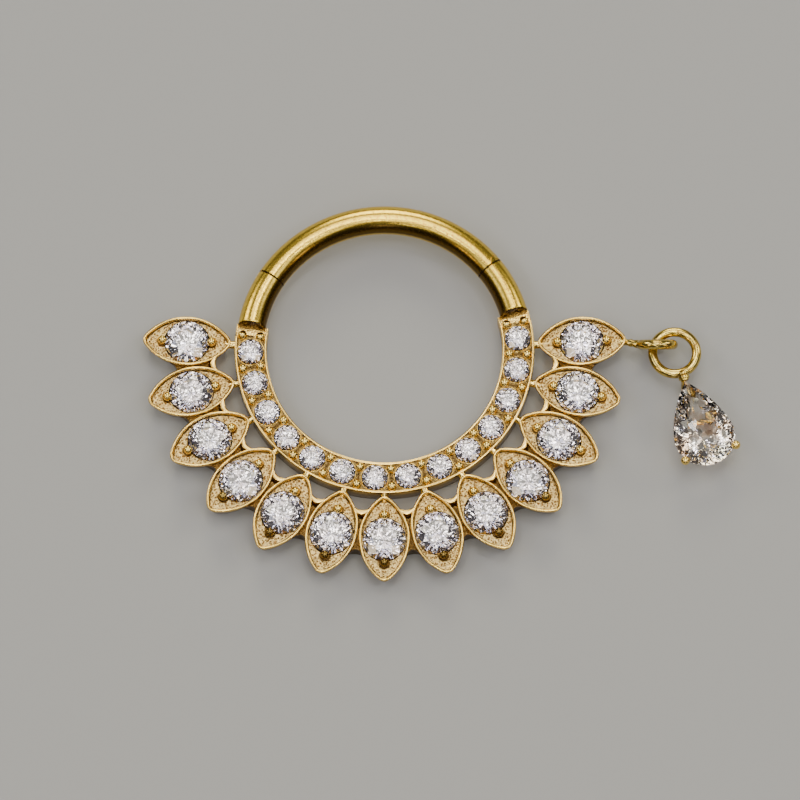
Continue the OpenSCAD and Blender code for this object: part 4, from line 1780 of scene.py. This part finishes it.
@dataclass
class Studio:
    """Pale floor, soft lights and the camera. Sizes are millimetres.

    The frame's width is 800 pixels at 23.64 pixels to the millimetre.
    """

    centre: HoopCentre
    frame_width: float = 800 / 23.64
    elevation: float = 72.7
    aim_x: float = 0.66
    aim_y: float = -2.256
    aim_z: float = 1.0
    distance: float = 360.0
    sensor: float = 36.0
    clip_start: float = 10.0
    clip_end: float = 10000.0
    cloth_low: float = 0.07
    cloth_high: float = 0.12
    cloth_top: float = 0.9
    floor_half: float = 600.0
    floor_drop: float = 0.02
    floor_shade: float = 0.36
    floor_roughness: float = 0.7
    lamps: tuple[SkyLamp, ...] = (
        SkyLamp(90.0, 30.0, 13.0, 6.0, (1.0, 0.94, 0.66)),
        SkyLamp(90.0, 73.0, 13.0, 2.7, (1.0, 0.95, 0.84)),
        SkyLamp(90.0, 90.0, 5.0, 10.0),
        SkyLamp(152.0, 30.0, 11.0, 5.5, (1.0, 0.94, 0.74)),
        SkyLamp(28.0, 30.0, 11.0, 5.5, (1.0, 0.94, 0.74)),
        SkyLamp(185.0, 50.0, 10.0, 3.5, (0.82, 0.84, 1.0)),
        SkyLamp(-5.0, 52.0, 10.0, 3.5, (0.82, 0.84, 1.0)),
        SkyLamp(230.0, 60.0, 7.0, 4.0),
        SkyLamp(310.0, 60.0, 7.0, 4.0),
        SkyLamp(270.0, 73.0, 4.0, 14.0),
        SkyLamp(60.0, 75.0, 3.0, 20.0, (1.0, 1.0, 1.0)),
        SkyLamp(200.0, 75.0, 3.0, 20.0, (1.0, 1.0, 1.0)),
        SkyLamp(340.0, 70.0, 3.0, 20.0, (1.0, 1.0, 1.0)),
        SkyLamp(255.0, 50.0, 3.0, 15.0, (1.0, 1.0, 1.0)),
        SkyLamp(215.0, 32.0, 6.0, 6.0, (1.0, 0.8, 0.55)),
        SkyLamp(325.0, 30.0, 6.0, 6.0, (1.0, 0.8, 0.55)),
        SkyLamp(270.0, 28.0, 5.0, 5.0, (0.8, 0.78, 1.0)),
        SkyLamp(120.0, 62.0, 3.0, 12.0, (0.9, 0.86, 1.0)),
        SkyLamp(50.0, 58.0, 3.0, 12.0, (1.0, 0.9, 0.75)),
    )

    def floor(self) -> None:
        """Makes the pale floor, just under the part."""
        size, z = self.floor_half * MM, -self.floor_drop * MM
        mesh = bpy.data.meshes.new("floor")
        corners = [(-size, -size, z), (size, -size, z), (size, size, z), (-size, size, z)]
        mesh.from_pydata(corners, [], [(0, 1, 2, 3)])
        obj = new_object("floor", mesh)
        material = bpy.data.materials.new("floor_paper")
        material.use_nodes = True
        shader = material.node_tree.nodes["Principled BSDF"]
        shader.inputs["Base Color"].default_value = (*[self.floor_shade] * 3, 1.0)
        shader.inputs["Roughness"].default_value = self.floor_roughness
        mesh.materials.append(material)

    def sky(self) -> None:
        """Makes the dark tent round the hoop, with its soft round lamps."""
        world = bpy.data.worlds.new("studio")
        world.use_nodes = True
        desk = NodeDesk(world.node_tree)
        place = desk.node("ShaderNodeTexCoord").outputs["Generated"]
        height = desk.node("ShaderNodeSeparateXYZ", Vector=place).outputs["Z"]
        cloth = desk.ramp(height, 0.0, self.cloth_top, self.cloth_low, self.cloth_high)
        light = desk.vector("SCALE", (1.0, 1.0, 1.0), cloth)
        for lamp in self.lamps:
            light = desk.vector("ADD", light, lamp.glow(desk, place))
        desk.feed(world.node_tree.nodes["Background"].inputs["Color"], light)
        bpy.context.scene.world = world

    def build(self) -> None:
        """Builds the floor, the sky and the camera."""
        self.floor()
        self.sky()
        up = math.radians(self.elevation)
        aim = Vector(self.centre.place(np.array([self.aim_x, self.aim_y, self.aim_z])))
        away = Vector((0.0, -math.cos(up), math.sin(up))) * self.distance * MM
        data = bpy.data.cameras.new("camera")
        data.sensor_width = self.sensor
        data.lens = self.sensor * self.distance / self.frame_width
        data.clip_start = self.clip_start * MM
        data.clip_end = self.clip_end * MM
        camera = bpy.data.objects.new("camera", data)
        camera.location = aim + away
        camera.rotation_euler = (-away).to_track_quat("-Z", "Y").to_euler()
        bpy.context.scene.collection.objects.link(camera)
        bpy.context.scene.camera = camera


@dataclass(frozen=True)
class Finishes:
    """All materials of the hoop."""

    cast: Material
    ball: Material
    wire: Material
    drop: Material
    stone: Material
    pear: Material

    @classmethod
    def make(cls, centre: HoopCentre) -> "Finishes":
        """Builds every material.

        Args:
            centre: The hoop's centre, round which the painted shade on the wire and on the prongs lies.

        Returns:
            The finishes.
        """
        x, y, _ = centre.metres
        cast = GoldFinish("cast_gold", bright=(1.0, 0.68, 0.18, 1.0))
        # The ball prongs and the wire take zones of painted shade
        ball = GoldFinish(
            "ball_gold", bright=(1.0, 0.72, 0.2, 1.0), polish_roughness=0.1, haze_and_shade=ProngShade(x, y)
        )
        wire = GoldFinish(
            "wire_gold",
            bright=(0.96, 0.66, 0.09, 1.0),
            deep=(0.24, 0.12, 0.012, 1.0),
            mottle=0.5,
            mottle_scale=9000.0,
            dents=0.12,
            polish_roughness=0.22,
            haze_and_shade=WireShadeAndSeams(x, y),
        )
        drop = GoldFinish(
            "drop_gold", bright=(0.74, 0.55, 0.13, 1.0), mottle=0.75, dents=0.12, reads_surface=False
        )
        # At the refraction of the other stones the long tip turns black, so the pear's is lower
        pear = StoneFinish(
            "clear_pear",
            clear=(1.0, 1.0, 1.0, 1.0),
            tinged=(0.8, 0.55, 0.38, 1.0),
            refraction=1.5,
            facet_scale=3000.0,
            facet_tilt=0.25,
        )
        stone = StoneFinish("clear_stone")
        return cls(*(finish.material() for finish in (cast, ball, wire, drop, stone, pear)))

    def dress_cad(self) -> None:
        """Gives the CAD nodes that stay their materials."""
        for name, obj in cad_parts.items():
            if name in ("hinged_segment", "hinge_pin"):
                chosen = self.wire
            elif name == "drop_stone":
                chosen = self.pear
            elif "stone" in name:
                chosen = self.stone
            else:
                continue
            obj.data.materials.clear()
            obj.data.materials.append(chosen)
            LOG.info("%s dressed in %s", name, chosen.name)


def main() -> None:
    """Builds the pieces in order."""
    logging.basicConfig(level=logging.INFO, format="%(name)s: %(message)s")
    centre = HoopCentre.from_stone("fan_stone_7", Fan.path_r)
    finishes = Finishes.make(centre)
    cut = Brilliant()
    Band(centre, cut).build(finishes.cast, finishes.ball)
    Fan(centre, cut).build(finishes.cast, finishes.ball)
    Wire(centre).build(finishes.wire)
    Eyelet(centre).build(finishes.drop)
    Drop(centre).build(finishes.drop, finishes.ball)
    finishes.dress_cad()
    Studio(centre).build()


if __name__ == "__main__":
    main()
